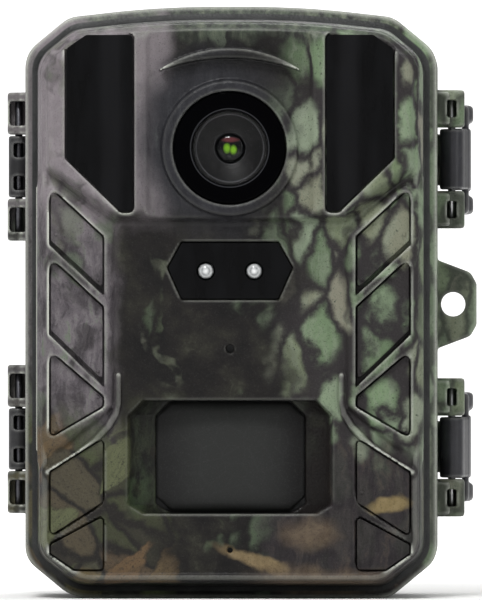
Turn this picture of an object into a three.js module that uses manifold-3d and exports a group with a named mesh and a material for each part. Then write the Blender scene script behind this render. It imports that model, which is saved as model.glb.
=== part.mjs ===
// Trail camera, in millimetres: +Z up, the front faces -Y, the hinges are on -X.
// The case opens like a book. The rear half straps to a tree, and the front half
// holds the optics, the boards and the batteries.
import * as THREE from 'three';
import { mergeVertices } from 'three/addons/utils/BufferGeometryUtils.js';
import Module from 'manifold-3d';

const wasm = await Module();
wasm.setup();

// ---------------------------------------------------------------- driving sizes

// Fits
const gap = 0.3; // between pieces that seat on each other
const reach = 1; // how far a cutting tool runs past the face that it cuts
const arcSteps = 3; // straight steps on a rounded corner

// Case, seen from the front
const caseWidth = 87.1;
const caseHeight = 125;
const lowCut = { across: 10, up: 8.2, round: 5 };
const highCut = { across: 9.2, up: 7.6, round: 6 };
const arch = { flat: 15, drop: 2.2, round: 200 };

// Case, front to back: Y = 0 is the plane where the halves meet
const frontDepth = 36;
const rearDepth = 13.1;
const partingGap = 0.4;
const wall = 2;
const edge = { flat: 20, lean: 3.5 }; // straight part of the side wall, then how far it leans in
const rim = { width: 3.4, depth: 2.8 };
const rearInset = 0.4;

// Raised front panels
const block = { rise: 3.5, inset: 5.6, slope: 1.4, halfFoot: 24.3, foot: 43.5, rake: 0.82, skirt: 2.4 };
const column = { half: 16.5, drop: 1.5, slope: 1.4, top: 5.1 };
const wing = { rise: 1.6, side: 5.15, width: 12.2, low: 30.2, lowRise: 10, high: 36.7, highDrop: 10.8 };
const wingSlope = 1.2;
const pad = { rise: 0.4, left: 0.6, round: 0.4, foot: 6.2 };

// Infrared lamp windows
const lampWindow = {
  side: 9.15, width: 14, flat: 2.5, top: 6.2, foot: 43.3, rake: 0.97, thick: 1.2, round: 0.8,
};
const lampLedge = 1.1;
const lampBoard = { thick: 1.6, back: 29.4, lampRadius: 2.3, lampReach: 5.4, pitch: 5.4, firstColumn: 3.8 };

// Camera optics
const lens = { down: 30, glassRadius: 11.8, glassThick: 1.1, collar: 2.3, collarRise: 1.2 };
const glassLedge = 1.4;
const barrel = { radius: 8.2, head: 8.6, neckRadius: 5.6, neck: 7.6, mouth: 3.1, bell: 7.1, dish: 1.6 };
const holder = { width: 16, height: 16, thick: 8 };
const filterBox = { width: 24, height: 14, thick: 4.4, slot: 1.6, slotHeight: 10.6, window: 3.8 };
const filterPlate = { width: 14, thick: 0.9 };
const cameraBoard = { width: 25, thick: 1.2 };
const imageSensor = { width: 9, thick: 1.2 };
const hood = { half: 14.3, end: 13.4, peak: 9.2, thick: 1.7, rise: 2.2 };

// Indicator window with its two lamps, and the two small holes
const indicator = { down: 55.2, tip: 13, half: 10.1, above: 5.2, below: 6.5, thick: 0.9 };
const indicatorLamp = { apart: 10.2, radius: 1.7, length: 6.5, proud: 0.5, drop: 0.7 };
const lightHole = { up: 52.7, radius: 0.85 };
const soundHole = { up: 10.3, radius: 0.6 };

// Motion sensor
const recess = { half: 21.6, floorHalf: 16, low: 18, height: 23.8, cut: 3.2, depth: 5.5, wall: 1.6 };
const motionLens = { thick: 0.8, bulge: 1.6 };
const retainer = { thick: 2, width: 2.2 };
const motionSensor = { radius: 4.6, length: 4 };
const motionBoard = { width: 26, height: 18, thick: 1.2 };

// Batteries, four AA cells side by side
const cell = { radius: 7.25, length: 49.5, count: 4, nub: 2.6, nubLength: 1 };
const bay = { up: 4.8, wall: 1.2, ends: 3.3, spare: 0.5 };
const contact = { thick: 0.6, height: 9, button: 2.2, buttonLength: 1.2 };
const cover = { thick: 1.5, tab: 12 };

// Inner panel, screen, keys and switch
const panel = { back: 1, thick: 1.6 };
const screen = { down: 26.5, width: 50, height: 38.5, thick: 3, windowWidth: 45, windowHeight: 34 };
const key = { count: 6, pitch: 12.5, width: 8, height: 5, proud: 0.6, down: 52.5, flange: 0.8 };
const mainBoard = { back: 6.9, thick: 1.6, low: 58.3, high: 6, side: 6.5, switchWidth: 4.4, switchHeight: 1.5 };
const slider = { side: 10.6, down: 29, width: 2.6, height: 4, travel: 5, bodyWidth: 5, bodyThick: 3 };
const screw = { side: 8.05, down: 15, up: 14, headRadius: 2, headLength: 0.9, radius: 0.95, length: 9 };
const bossRadius = 2.4;

// Sockets at the left of the screen
const portSide = 11.2;
const portBoard = { width: 9, low: 50.2, high: 18.7, back: 17.8, thick: 1.2 };
const usb = { down: 25, width: 7.6, height: 5.4, hollow: 1, depth: 8 };
const card = { down: 33.5, width: 11, thick: 1, length: 15, socketWidth: 12.6, socketThick: 3.4, proud: 1.4 };
const cardPush = 1;
const power = { down: 43, radius: 3.8, bore: 2.75, depth: 8, pin: 0.9 };

// Hinges
const hinge = { out: 2.45, radius: 2.4, link: 13.1, knuckle: 9, upper: 33.5, lower: 33.3, web: 5.5 };
const hingePin = { radius: 0.8 };
const hingeWindow = { width: 3.8, height: 5.2, depth: 1 };
const linkWindow = { width: 2.8, height: 3.4, from: 1.6 };
const linkArm = { thick: 2.6, far: 6 };

// Latches
const latch = { out: 3, forward: 5, radius: 2.55, barrel: 12.9, knuckle: 8, upper: 32, lower: 31.6 };
const latchKnuckle = { radius: 2.75, window: 2, windowHeight: 3.6 };
const lever = { inner: 2.2, outer: 3.6, start: 3.4, end: 16.5, half: 11.65 };
const leverFoot = { outer: 4.55, start: 10, height: 3.9 };
const nose = { reach: 0.75, start: 11.3, end: 13.2, half: 5 };
const ridge = { reach: 1.05, thick: 1.2, end: 11, half: 5.5 };

// Padlock tab
const tab = { out: 8.3, half: 9.8, flatHalf: 4.4, thick: 2.5, hole: 2.6, holeOut: 3.3, up: 62.1 };

// Rear half
const seal = { inset: 1.7, width: 1.4, depth: 2.1 };
const tripod = { up: 8, radius: 4.5, bore: 3.18, bossWall: 1.6, bossHeight: 10, back: 7.3 };
const strap = { side: 24, width: 8, half: 42, slotHalf: 14, slotDepth: 4.8, bridge: 2.2 };
const tooth = { pitch: 5, depth: 1.4 };

// ------------------------------------------------------------- worked-out places

const half = caseWidth / 2;
const lensUp = caseHeight - lens.down;
const blockFront = -frontDepth - block.rise;
const columnFront = blockFront + column.drop;
const panelFront = -panel.back - panel.thick;
const bayWidth = cell.count * (2 * cell.radius + bay.spare) + bay.spare;
const bayHeight = cell.length + cell.nubLength + 2 * bay.ends;
const cellBack = -panel.back - cover.thick - gap;
const cellMiddle = cellBack - cell.radius;
const bayFront = cellMiddle - cell.radius - gap;
const hingeX = -half - hinge.out;
const latchX = half + latch.out;
const hinges = { upper: caseHeight - hinge.upper, lower: hinge.lower };
const latches = { upper: caseHeight - latch.upper, lower: latch.lower };

// --------------------------------------------------------------------- materials

function plastic(color, roughness = 0.6) {
  return new THREE.MeshStandardMaterial({ color, roughness, metalness: 0 });
}

function metal(color, roughness = 0.35) {
  return new THREE.MeshStandardMaterial({ color, roughness, metalness: 1 });
}

const camo = plastic(0x565a4e, 0.55);
const glossBlack = plastic(0x0c0c0e, 0.08);
const clearGlass = plastic(0x20242a, 0.04);
const blackPlastic = plastic(0x1c1c20, 0.5);
const greyPlastic = plastic(0x55555a, 0.55);
const rubber = plastic(0x242424, 0.85);
const board = plastic(0x14502c, 0.5);
const steel = metal(0xb8b8bc);
const brass = metal(0xc9a558);
const lampPlastic = plastic(0xe6e8ec, 0.1);
const cellSleeve = plastic(0x3a3f46, 0.4);

// ------------------------------------------------------------------ shape helpers

// A closed geometry as a solid that can be joined and cut.
function solid(geometry) {
  const bare = geometry.clone();
  bare.deleteAttribute('normal');
  bare.deleteAttribute('uv');
  const merged = mergeVertices(bare, 1e-4);
  return new wasm.Manifold(new wasm.Mesh({
    numProp: 3,
    vertProperties: new Float32Array(merged.attributes.position.array),
    triVerts: new Uint32Array(merged.index.array),
  }));
}

// The surface of a solid as a geometry.
function surface(body) {
  const mesh = body.getMesh();
  const geometry = new THREE.BufferGeometry();
  geometry.setAttribute('position', new THREE.BufferAttribute(mesh.vertProperties, 3));
  geometry.setIndex(new THREE.BufferAttribute(mesh.triVerts, 1));
  geometry.computeVertexNormals();
  return geometry;
}

// Corners are [x, z, radius], anticlockwise seen from the front. This moves each
// side inward by inset and keeps the rounds concentric.
function insetCorners(corners, inset) {
  return corners.map(([x, z, radius], i) => {
    const before = corners.at(i - 1);
    const after = corners[(i + 1) % corners.length];
    const arriving = new THREE.Vector2(x - before[0], z - before[1]).normalize();
    const leaving = new THREE.Vector2(after[0] - x, after[1] - z).normalize();
    const across = new THREE.Vector2(-arriving.y - leaving.y, arriving.x + leaving.x);
    const stretch = inset / (1 + arriving.dot(leaving));
    const convex = arriving.cross(leaving) > 0;
    const rounded = radius ? Math.max(radius + (convex ? -inset : inset), 0.1) : 0;
    return [x + across.x * stretch, z + across.y * stretch, rounded];
  });
}

// The points of an outline, with an arc at each rounded corner.
function outline(corners) {
  return corners.flatMap(([x, z, radius], i) => {
    const here = new THREE.Vector2(x, z);
    if (!radius) return [here];
    const before = corners.at(i - 1);
    const after = corners[(i + 1) % corners.length];
    const back = new THREE.Vector2(before[0] - x, before[1] - z).normalize();
    const on = new THREE.Vector2(after[0] - x, after[1] - z).normalize();
    const angle = back.angleTo(on) / 2;
    const centre = back.clone().add(on).setLength(radius / Math.sin(angle)).add(here);
    const start = back.clone().multiplyScalar(radius / Math.tan(angle)).add(here).sub(centre);
    const turn = Math.sign(-back.cross(on)) * (Math.PI - 2 * angle);
    return Array.from({ length: arcSteps + 1 }, (_, k) => (
      start.clone().rotateAround(new THREE.Vector2(), (turn * k) / arcSteps).add(centre)
    ));
  });
}

// A solid through outlines at several depths, listed from front to back.
function loft(sections) {
  const rings = sections.map(({ corners }) => outline(corners));
  const count = rings[0].length;
  const position = rings.flatMap((ring, k) => ring.flatMap((p) => [p.x, sections[k].y, p.y]));
  const index = [];
  for (const [a, b, c] of THREE.ShapeUtils.triangulateShape(rings[0], [])) {
    index.push(a, b, c);
  }
  const last = (rings.length - 1) * count;
  for (const [a, b, c] of THREE.ShapeUtils.triangulateShape(rings.at(-1), [])) {
    index.push(last + a, last + c, last + b);
  }
  for (let k = 0; k < rings.length - 1; k += 1) {
    for (let i = 0; i < count; i += 1) {
      const here = k * count + i;
      const next = k * count + ((i + 1) % count);
      index.push(here, here + count, next, next, here + count, next + count);
    }
  }
  const geometry = new THREE.BufferGeometry();
  geometry.setAttribute('position', new THREE.Float32BufferAttribute(position, 3));
  geometry.setIndex(index);
  return solid(geometry);
}

function prism(corners, front, back) {
  return loft([{ y: front, corners }, { y: back, corners }]);
}

function box(x0, x1, y0, y1, z0, z1) {
  const geometry = new THREE.BoxGeometry(x1 - x0, y1 - y0, z1 - z0);
  return solid(geometry.translate((x0 + x1) / 2, (y0 + y1) / 2, (z0 + z1) / 2));
}

// A box centred on x and z.
function slab(x, z, width, height, y0, y1) {
  return box(x - width / 2, x + width / 2, y0, y1, z - height / 2, z + height / 2);
}

// A rod along Y.
function rod(x, z, radius, y0, y1, sides = 24) {
  const geometry = new THREE.CylinderGeometry(radius, radius, y1 - y0, sides);
  return solid(geometry.translate(x, (y0 + y1) / 2, z));
}

// A post along Z.
function post(x, y, radius, z0, z1, sides = 20) {
  const geometry = new THREE.CylinderGeometry(radius, radius, z1 - z0, sides);
  return solid(geometry.rotateX(Math.PI / 2).translate(x, y, (z0 + z1) / 2));
}

// A turned piece on an axis along Y, from [radius, y] pairs that start and end on it.
function turned(x, z, profile, sides = 28) {
  const points = profile.map(([radius, y]) => new THREE.Vector2(radius, y));
  return solid(new THREE.LatheGeometry(points, sides).translate(x, 0, z));
}

// A plan shape of [x, y] points, anticlockwise from above, drawn up from z0 to z1.
function plan(points, z0, z1) {
  const shape = new THREE.Shape(points.map(([x, y]) => new THREE.Vector2(x, y)));
  const geometry = new THREE.ExtrudeGeometry(shape, { depth: z1 - z0, bevelEnabled: false });
  return solid(geometry.translate(0, 0, z0));
}

function joined(first, ...others) {
  return others.reduce((whole, piece) => whole.add(piece), first);
}

function cut(body, ...tools) {
  return tools.reduce((rest, tool) => rest.subtract(tool), body);
}

function mirrored(corners) {
  return corners.map(([x, z, radius]) => [-x, z, radius]).reverse();
}

function rectangle(x, z, width, height, radius = 0) {
  const [w, h] = [width / 2, height / 2];
  return [[x - w, z - h, radius], [x + w, z - h, radius], [x + w, z + h, radius], [x - w, z + h, radius]];
}

const camera = new THREE.Group();

function add(name, body, material) {
  const mesh = new THREE.Mesh(surface(body), material);
  mesh.name = name;
  camera.add(mesh);
}

// ------------------------------------------------------------------ case outlines

function caseCorners(inset) {
  const side = [
    [half - lowCut.across, 0, lowCut.round],
    [half, lowCut.up, lowCut.round],
    [half, caseHeight - arch.drop - highCut.up, highCut.round],
    [half - highCut.across, caseHeight - arch.drop, highCut.round],
    [arch.flat, caseHeight, arch.round],
  ];
  return insetCorners([...side, ...mirrored(side)], inset);
}

function caseSolid(sections) {
  return loft(sections.map(([y, inset]) => ({ y, corners: caseCorners(inset) })));
}

// The two halves' outer and inner surfaces as [depth, inset] pairs.
function frontShell() {
  const lean = edge.lean;
  const bend = frontDepth - edge.flat;
  const outer = [
    [-frontDepth, lean + 0.7],
    [-frontDepth + 0.7, lean - 0.3],
    [-frontDepth + bend * 0.22, lean * 0.55],
    [-frontDepth + bend * 0.55, lean * 0.2],
    [-edge.flat, 0],
    [0, 0],
  ];
  const inner = [
    [-frontDepth + wall, lean + wall],
    [-frontDepth + bend * 0.3 + wall, lean * 0.4 + wall],
    [-edge.flat, wall],
    [-rim.depth - 1, wall],
    [-rim.depth, rim.width],
    [reach, rim.width],
  ];
  return cut(caseSolid(outer), caseSolid(inner));
}

// ------------------------------------------------------- raised panels on the front

function blockFoot(spread) {
  const far = half + 20;
  const foot = caseHeight - block.foot;
  const corner = foot + (far - block.halfFoot) * block.rake;
  const side = [[block.halfFoot, foot, 1.5], [far, corner, 0], [far, caseHeight + 20, 0]];
  return insetCorners([...side, ...mirrored(side)], -spread);
}

function raisedBlock() {
  const outer = caseSolid([[blockFront, block.inset], [-frontDepth + wall, block.inset - block.slope]]);
  const foot = loft([
    { y: blockFront, corners: blockFoot(0) },
    { y: -frontDepth + wall, corners: blockFoot(block.skirt) },
  ]);
  return outer.intersect(foot);
}

function columnCut() {
  const low = caseHeight - block.foot - block.skirt - reach;
  const high = caseHeight - column.top;
  const corners = rectangle(0, (low + high) / 2, 2 * column.half, high - low, 1);
  return loft([
    { y: blockFront - reach, corners: insetCorners(corners, -column.slope - reach) },
    { y: columnFront, corners },
  ]);
}

// Side wings, as corners on the +X side.
function wingCorners() {
  const outer = half - wing.side;
  const inner = outer - wing.width;
  const high = caseHeight - wing.high;
  return [
    [inner, wing.low + wing.lowRise, 1],
    [outer, wing.low, 1],
    [outer, high, 1],
    [inner, high - wing.highDrop, 1],
  ];
}

function raisedWing(mirror) {
  const corners = mirror(wingCorners());
  return loft([
    { y: -frontDepth - wing.rise, corners },
    { y: -frontDepth + 1, corners: insetCorners(corners, -wingSlope) },
  ]);
}

// A pad between two slanted edges. rise and fall are the heights gained from its
// inner to its outer side at the lower and the upper edge.
function padCorners(low, high, rise, fall, inner, outer) {
  return [
    [inner, low, pad.round],
    [outer, low + rise, pad.round],
    [outer, high + fall, pad.round],
    [inner, high, pad.round],
  ];
}

function pads(mirror) {
  const outer = half - wing.side - pad.left;
  const inner = outer - wing.width + 2 * pad.left;
  const high = caseHeight - wing.high - wing.highDrop;
  const low = wing.low + wing.lowRise;
  const top = -frontDepth - wing.rise - pad.rise;
  const lowTop = -frontDepth - pad.rise;
  const raised = [
    padCorners(high - 12.2, high - 1.2, 10.2, 10.2, inner, outer),
    padCorners(high - 31.5, high - 16, 10.6, 10.2, inner, outer),
    padCorners(low + 0.4, low + 2.4, -6.4, 9.4, inner, outer),
  ];
  const lower = [
    padCorners(low - 19.8, low - 6.5, -7, -7, inner, outer),
    [
      [inner, pad.foot, pad.round],
      [outer - 5, pad.foot, pad.round],
      [outer, pad.foot + 3.4, pad.round],
      [outer, pad.foot + 5.2, pad.round],
      [inner, low - 22.9, pad.round],
    ],
  ];
  return [
    ...raised.map((corners) => prism(mirror(corners), top, -frontDepth)),
    ...lower.map((corners) => prism(mirror(corners), lowTop, -frontDepth + 1)),
  ];
}

// An eyebrow over the lens: thick at the middle and thin at its ends.
function hoodRidge() {
  const rise = hood.end - hood.peak;
  const steps = 8;
  const upper = [];
  const lower = [];
  for (let i = 0; i <= steps; i += 1) {
    const x = hood.half * ((2 * i) / steps - 1);
    const share = 1 - (x / hood.half) ** 2;
    const z = caseHeight - hood.end + rise * share;
    upper.push([x, z + 0.25, 0]);
    lower.push([x, z - 0.25 - (hood.thick - 0.5) * share, 0]);
  }
  const corners = [...lower, ...upper.reverse()];
  return prism(corners, columnFront - hood.rise, columnFront + 1);
}

// ------------------------------------------------------------------- front housing

// The window outline on the +X side.
function lampWindowCorners() {
  const outer = half - lampWindow.side;
  const inner = outer - lampWindow.width;
  const top = caseHeight - lampWindow.top;
  const foot = caseHeight - lampWindow.foot;
  return [
    [inner, foot, lampWindow.round],
    [inner + lampWindow.flat, foot, lampWindow.round],
    [outer, foot + (lampWindow.width - lampWindow.flat) * lampWindow.rake, lampWindow.round],
    [outer, top - 2.9, lampWindow.round],
    [outer - 4.2, top, lampWindow.round],
    [inner, top, lampWindow.round],
  ];
}

function same(corners) {
  return corners;
}

function indicatorCorners() {
  const z = caseHeight - indicator.down;
  return [
    [-indicator.half, z - indicator.below, 0.5],
    [indicator.half, z - indicator.below, 0.5],
    [indicator.tip, z, 0.5],
    [indicator.half, z + indicator.above, 0.5],
    [-indicator.half, z + indicator.above, 0.5],
    [-indicator.tip, z, 0.5],
  ];
}

function recessCorners(halfWidth, trim) {
  const { low, height, cut: corner } = recess;
  const side = [
    [halfWidth - corner, low + trim, 0],
    [halfWidth, low + trim + corner * 0.6, 0],
    [halfWidth, low + height - trim - corner, 0],
    [halfWidth - corner, low + height - trim, 0],
  ];
  return [...side, ...mirrored(side)];
}

const recessFloor = -frontDepth + recess.depth;

function recessSolid(grow, front, back) {
  return loft([
    { y: front, corners: insetCorners(recessCorners(recess.half, 0), -grow) },
    { y: back, corners: insetCorners(recessCorners(recess.floorHalf, 0), -grow) },
  ]);
}

function frontKnuckle(z0, z1) {
  const web = plan([
    [hingeX, -hinge.radius],
    [-half + 1, -hinge.web],
    [-half + 1, -gap],
    [hingeX, -gap],
  ], z0, z1);
  return joined(post(hingeX, 0, hinge.radius, z0, z1), web);
}

function hingeKnuckles(z) {
  const near = hinge.link / 2 + gap;
  const far = near + hinge.knuckle;
  return [frontKnuckle(z + near, z + far), frontKnuckle(z - far, z - near)];
}

function hingeCuts(z) {
  const near = hinge.link / 2 + gap;
  const middle = near + hinge.knuckle / 2;
  const window = (at) => box(
    hingeX - hingeWindow.width / 2,
    hingeX + hingeWindow.width / 2,
    -hinge.web - reach,
    hingeWindow.depth,
    at - hingeWindow.height / 2,
    at + hingeWindow.height / 2,
  );
  const far = near + hinge.knuckle + reach;
  const bore = post(hingeX, 0, hingePin.radius + gap, z - far, z + far);
  return [window(z + middle), window(z - middle), bore];
}

function latchKnuckles(z) {
  const near = latch.barrel / 2 + gap;
  const make = (z0, z1) => joined(
    post(latchX, -latch.forward, latchKnuckle.radius, z0, z1),
    box(half - 1, latchX, -latch.forward - latchKnuckle.radius, -latch.forward + latchKnuckle.radius, z0, z1),
  );
  return [make(z + near, z + near + latch.knuckle), make(z - near - latch.knuckle, z - near)];
}

function latchCuts(z) {
  const near = latch.barrel / 2 + gap;
  const middle = near + latch.knuckle / 2;
  const window = (at) => box(
    latchX - latchKnuckle.window / 2,
    latchX + latchKnuckle.window / 2,
    -latch.forward - latchKnuckle.radius - reach,
    -latch.forward + 1,
    at - latchKnuckle.windowHeight / 2,
    at + latchKnuckle.windowHeight / 2,
  );
  const far = near + latch.knuckle + reach;
  const bore = post(latchX, -latch.forward, hingePin.radius + gap, z - far, z + far);
  return [window(z + middle), window(z - middle), bore];
}

function padlockTab(y0, y1) {
  const corners = [
    [half - 1, tab.up - tab.half, 0],
    [half + tab.out - 1.3, tab.up - tab.flatHalf - 2.4, 0.8],
    [half + tab.out, tab.up - tab.flatHalf, 0.8],
    [half + tab.out, tab.up + tab.flatHalf, 0.8],
    [half + tab.out - 1.3, tab.up + tab.flatHalf + 2.4, 0.8],
    [half - 1, tab.up + tab.half, 0],
  ];
  const hole = rod(half + tab.holeOut, tab.up, tab.hole, y0 - 1, y1 + 1, 20);
  return cut(prism(corners, y0, y1), hole);
}

const bossPlaces = [-1, 1].flatMap((side) => [
  { name: side < 0 ? 'left_upper' : 'right_upper', x: side * (half - screw.side), z: caseHeight - screw.down },
  { name: side < 0 ? 'left_lower' : 'right_lower', x: side * (half - screw.side), z: screw.up },
]);

function frontHousing() {
  let body = joined(
    frontShell(),
    raisedBlock(),
    raisedWing(same),
    raisedWing(mirrored),
  );
  body = body.subtract(columnCut());
  body = joined(
    body,
    rod(0, lensUp, lens.glassRadius + lens.collar, columnFront - lens.collarRise, -frontDepth + wall, 36),
    hoodRidge(),
    ...pads(same),
    ...pads(mirrored),
    recessSolid(recess.wall, -frontDepth + 0.5, recessFloor + recess.wall),
    ...bossPlaces.map(({ x, z }) => rod(x, z, bossRadius, -frontDepth + 1, panelFront - gap, 16)),
    ...Object.values(hinges).flatMap(hingeKnuckles),
    ...Object.values(latches).flatMap(latchKnuckles),
    padlockTab(-tab.thick, -partingGap / 2),
  );
  const glassBed = columnFront - lens.collarRise / 2 + lens.glassThick + gap;
  const lampCuts = [same, mirrored].flatMap((mirror) => {
    const corners = mirror(lampWindowCorners());
    const bed = blockFront + gap + lampWindow.thick + gap;
    return [
      prism(insetCorners(corners, -gap), blockFront - reach, bed),
      prism(insetCorners(corners, lampLedge), bed - 1, -frontDepth + wall + reach),
    ];
  });
  body = cut(
    body,
    rod(0, lensUp, lens.glassRadius + gap, columnFront - 3, glassBed, 36),
    rod(0, lensUp, lens.glassRadius - glassLedge, columnFront - 1, -frontDepth + wall + reach, 36),
    ...lampCuts,
    prism(insetCorners(indicatorCorners(), -gap), -frontDepth - reach, -frontDepth + indicator.thick + gap),
    ...lampPlaces().map(({ x, z }) => (
      rod(x, z, indicatorLamp.radius + gap, -frontDepth - reach, -frontDepth + wall + reach, 12)
    )),
    recessSolid(0, -frontDepth - 0.01, recessFloor),
    prism(
      insetCorners(recessCorners(recess.floorHalf, 0), 0.1),
      recessFloor - 1,
      recessFloor + recess.wall + reach,
    ),
    rod(0, lightHole.up, lightHole.radius, -frontDepth - reach, -frontDepth + wall + reach, 10),
    rod(0, soundHole.up, soundHole.radius, -frontDepth - reach, -frontDepth + wall + reach, 10),
    ...bossPlaces.map(({ x, z }) => rod(x, z, screw.radius + gap, -screw.length - 2, 0, 12)),
    ...Object.values(hinges).flatMap(hingeCuts),
    ...Object.values(latches).flatMap(latchCuts),
  );
  return body;
}

// ------------------------------------------------------------------ optics and lamps

function lampPlaces() {
  const z = caseHeight - indicator.down - indicatorLamp.drop;
  return [-1, 1].map((side) => ({ x: (side * indicatorLamp.apart) / 2, z }));
}

function addLampWindows() {
  for (const [name, mirror] of [['right', same], ['left', mirrored]]) {
    const corners = mirror(lampWindowCorners());
    const plate = prism(corners, blockFront + gap, blockFront + gap + lampWindow.thick);
    add(`ir_window_${name}`, plate, glossBlack);
    add(`ir_lamp_board_${name}`, lampBoardSolid(name === 'right' ? 1 : -1), board);
  }
}

// A board with two staggered columns of lamps behind one window.
function lampBoardSolid(side) {
  const outer = half - screw.side - bossRadius - gap;
  const inner = half - lampWindow.side - lampWindow.width;
  const top = caseHeight - lampWindow.top - 2.8;
  const foot = caseHeight - lampWindow.foot + 3;
  const front = -lampBoard.back - lampBoard.thick;
  const middle = (side * (outer + inner)) / 2;
  const plate = slab(middle, (top + foot) / 2, outer - inner, top - foot, front, -lampBoard.back);
  const lampTop = top - lampBoard.lampRadius - 0.8;
  const columns = [
    { x: inner + lampBoard.firstColumn, count: 5, top: lampTop },
    { x: inner + lampBoard.firstColumn + 5.8, count: 4, top: lampTop - lampBoard.pitch / 2 },
  ];
  const lamps = columns.flatMap(({ x, count, top: first }) => (
    Array.from({ length: count }, (_, i) => (
      rod(
        side * x,
        first - i * lampBoard.pitch,
        lampBoard.lampRadius,
        front - lampBoard.lampReach,
        front + 0.5,
        8,
      )
    ))
  ));
  return joined(plate, ...lamps);
}

function addOptics() {
  const glassFront = columnFront - lens.collarRise / 2;
  const glass = rod(0, lensUp, lens.glassRadius, glassFront, glassFront + lens.glassThick, 36);
  add('lens_window', glass, clearGlass);

  const barrelFront = glassFront + lens.glassThick + gap;
  const shoulder = barrelFront + barrel.head;
  const neckEnd = shoulder + barrel.neck;
  const barrelSolid = turned(0, lensUp, [
    [0, barrelFront + 3.2],
    [barrel.mouth + gap, barrelFront + 3.2],
    [barrel.mouth + gap, barrelFront + barrel.dish],
    [barrel.bell, barrelFront + barrel.dish * 0.5],
    [barrel.bell, barrelFront],
    [barrel.radius, barrelFront],
    [barrel.radius, shoulder],
    [barrel.neckRadius, shoulder],
    [barrel.neckRadius, neckEnd],
    [0, neckEnd],
  ]);
  add('lens_barrel', barrelSolid, blackPlastic);
  const element = turned(0, lensUp, [
    [0, barrelFront + 0.9],
    [barrel.mouth * 0.5, barrelFront + 1.1],
    [barrel.mouth, barrelFront + 1.7],
    [barrel.mouth, barrelFront + 2.9],
    [0, barrelFront + 2.9],
  ]);
  add('front_lens', element, clearGlass);

  const holderFront = shoulder + gap;
  const holderBack = holderFront + holder.thick;
  const block = slab(0, lensUp, holder.width, holder.height, holderFront, holderBack);
  const bore = rod(0, lensUp, barrel.neckRadius + gap, holderFront - 1, holderBack + 1, 28);
  add('lens_holder', block.subtract(bore), blackPlastic);

  const boxFront = holderBack + gap;
  const boxBack = boxFront + filterBox.thick;
  const slotMiddle = (boxFront + boxBack) / 2;
  const filterCase = cut(
    slab(0, lensUp, filterBox.width, filterBox.height, boxFront, boxBack),
    slab(
      0,
      lensUp,
      filterBox.width - 2,
      filterBox.slotHeight,
      slotMiddle - filterBox.slot / 2,
      slotMiddle + filterBox.slot / 2,
    ),
    rod(0, lensUp, filterBox.window, boxFront - 1, boxBack + 1, 20),
  );
  add('ir_filter_frame', filterCase, blackPlastic);
  const plate = box(
    -filterBox.width / 2 + 1 + gap,
    -filterBox.width / 2 + 1 + gap + filterPlate.width,
    slotMiddle - filterPlate.thick / 2,
    slotMiddle + filterPlate.thick / 2,
    lensUp - filterBox.slotHeight / 2 + gap,
    lensUp + filterBox.slotHeight / 2 - gap,
  );
  add('ir_filter', plate, clearGlass);

  const chipFront = boxBack + gap;
  const boardFront = chipFront + imageSensor.thick;
  const chip = slab(0, lensUp, imageSensor.width, imageSensor.width, chipFront, boardFront + 0.2);
  const width = cameraBoard.width;
  const plateBehind = slab(0, lensUp, width, width, boardFront, boardFront + cameraBoard.thick);
  add('camera_board', joined(plateBehind, chip), board);
}

function addIndicators() {
  let plate = prism(indicatorCorners(), -frontDepth, -frontDepth + indicator.thick);
  for (const { x, z } of lampPlaces()) {
    const hole = rod(x, z, indicatorLamp.radius + gap, -frontDepth - 1, -frontDepth + wall, 12);
    plate = plate.subtract(hole);
  }
  add('indicator_window', plate, glossBlack);
  const front = -frontDepth - indicatorLamp.proud;
  for (const [i, { x, z }] of lampPlaces().entries()) {
    const r = indicatorLamp.radius;
    const lamp = turned(x, z, [
      [0, front],
      [r * 0.7, front + 0.5],
      [r, front + 1.4],
      [r, front + indicatorLamp.length],
      [0, front + indicatorLamp.length],
    ], 12);
    add(`indicator_lamp_${i ? 'right' : 'left'}`, lamp, lampPlastic);
  }
  const behind = -frontDepth + wall + gap;
  add('light_sensor', slab(0, lightHole.up, 4, 4, behind, behind + 1.6), blackPlastic);
  add('microphone', rod(0, soundHole.up, 2.4, behind, behind + 2.4, 16), steel);
}

// ------------------------------------------------------------------- motion sensor

function addMotionSensor() {
  const low = recess.low + gap;
  const high = recess.low + recess.height - gap;
  const x = recess.floorHalf - gap;
  const steps = 8;
  const front = [];
  const back = [];
  const edgeY = recessFloor;
  for (let i = 0; i <= steps; i += 1) {
    const share = (2 * i) / steps - 1;
    const y = edgeY - motionLens.bulge * (1 - share * share);
    front.push([share * x, y]);
    back.push([share * (x - 0.2), y + motionLens.thick]);
  }
  const floorOutline = insetCorners(recessCorners(recess.floorHalf, 0), gap + 0.1);
  const trimmed = prism(floorOutline, recessFloor - 3, recessFloor + 3);
  const sheet = plan([...front, ...back.reverse()], low, high).intersect(trimmed);
  add('motion_lens', sheet, plastic(0x2e2e2f, 0.45));

  const ringFront = recessFloor + recess.wall + gap;
  const outer = insetCorners(recessCorners(recess.floorHalf, 0), -retainer.width);
  const inner = insetCorners(recessCorners(recess.floorHalf, 0), 1.2);
  const ring = prism(outer, ringFront, ringFront + retainer.thick);
  add('motion_lens_retainer', ring.subtract(prism(inner, ringFront - 1, ringFront + 4)), blackPlastic);

  const middle = recess.low + recess.height / 2;
  const boardBack = bayFront - bay.wall - gap;
  const boardFront = boardBack - motionBoard.thick;
  const { width, height } = motionBoard;
  const can = rod(0, middle, motionSensor.radius, boardFront - motionSensor.length, boardFront + 0.2, 20);
  add('motion_sensor', joined(slab(0, middle, width, height, boardFront, boardBack), can), board);
}

// --------------------------------------------------------------- inner panel and keys

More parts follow.
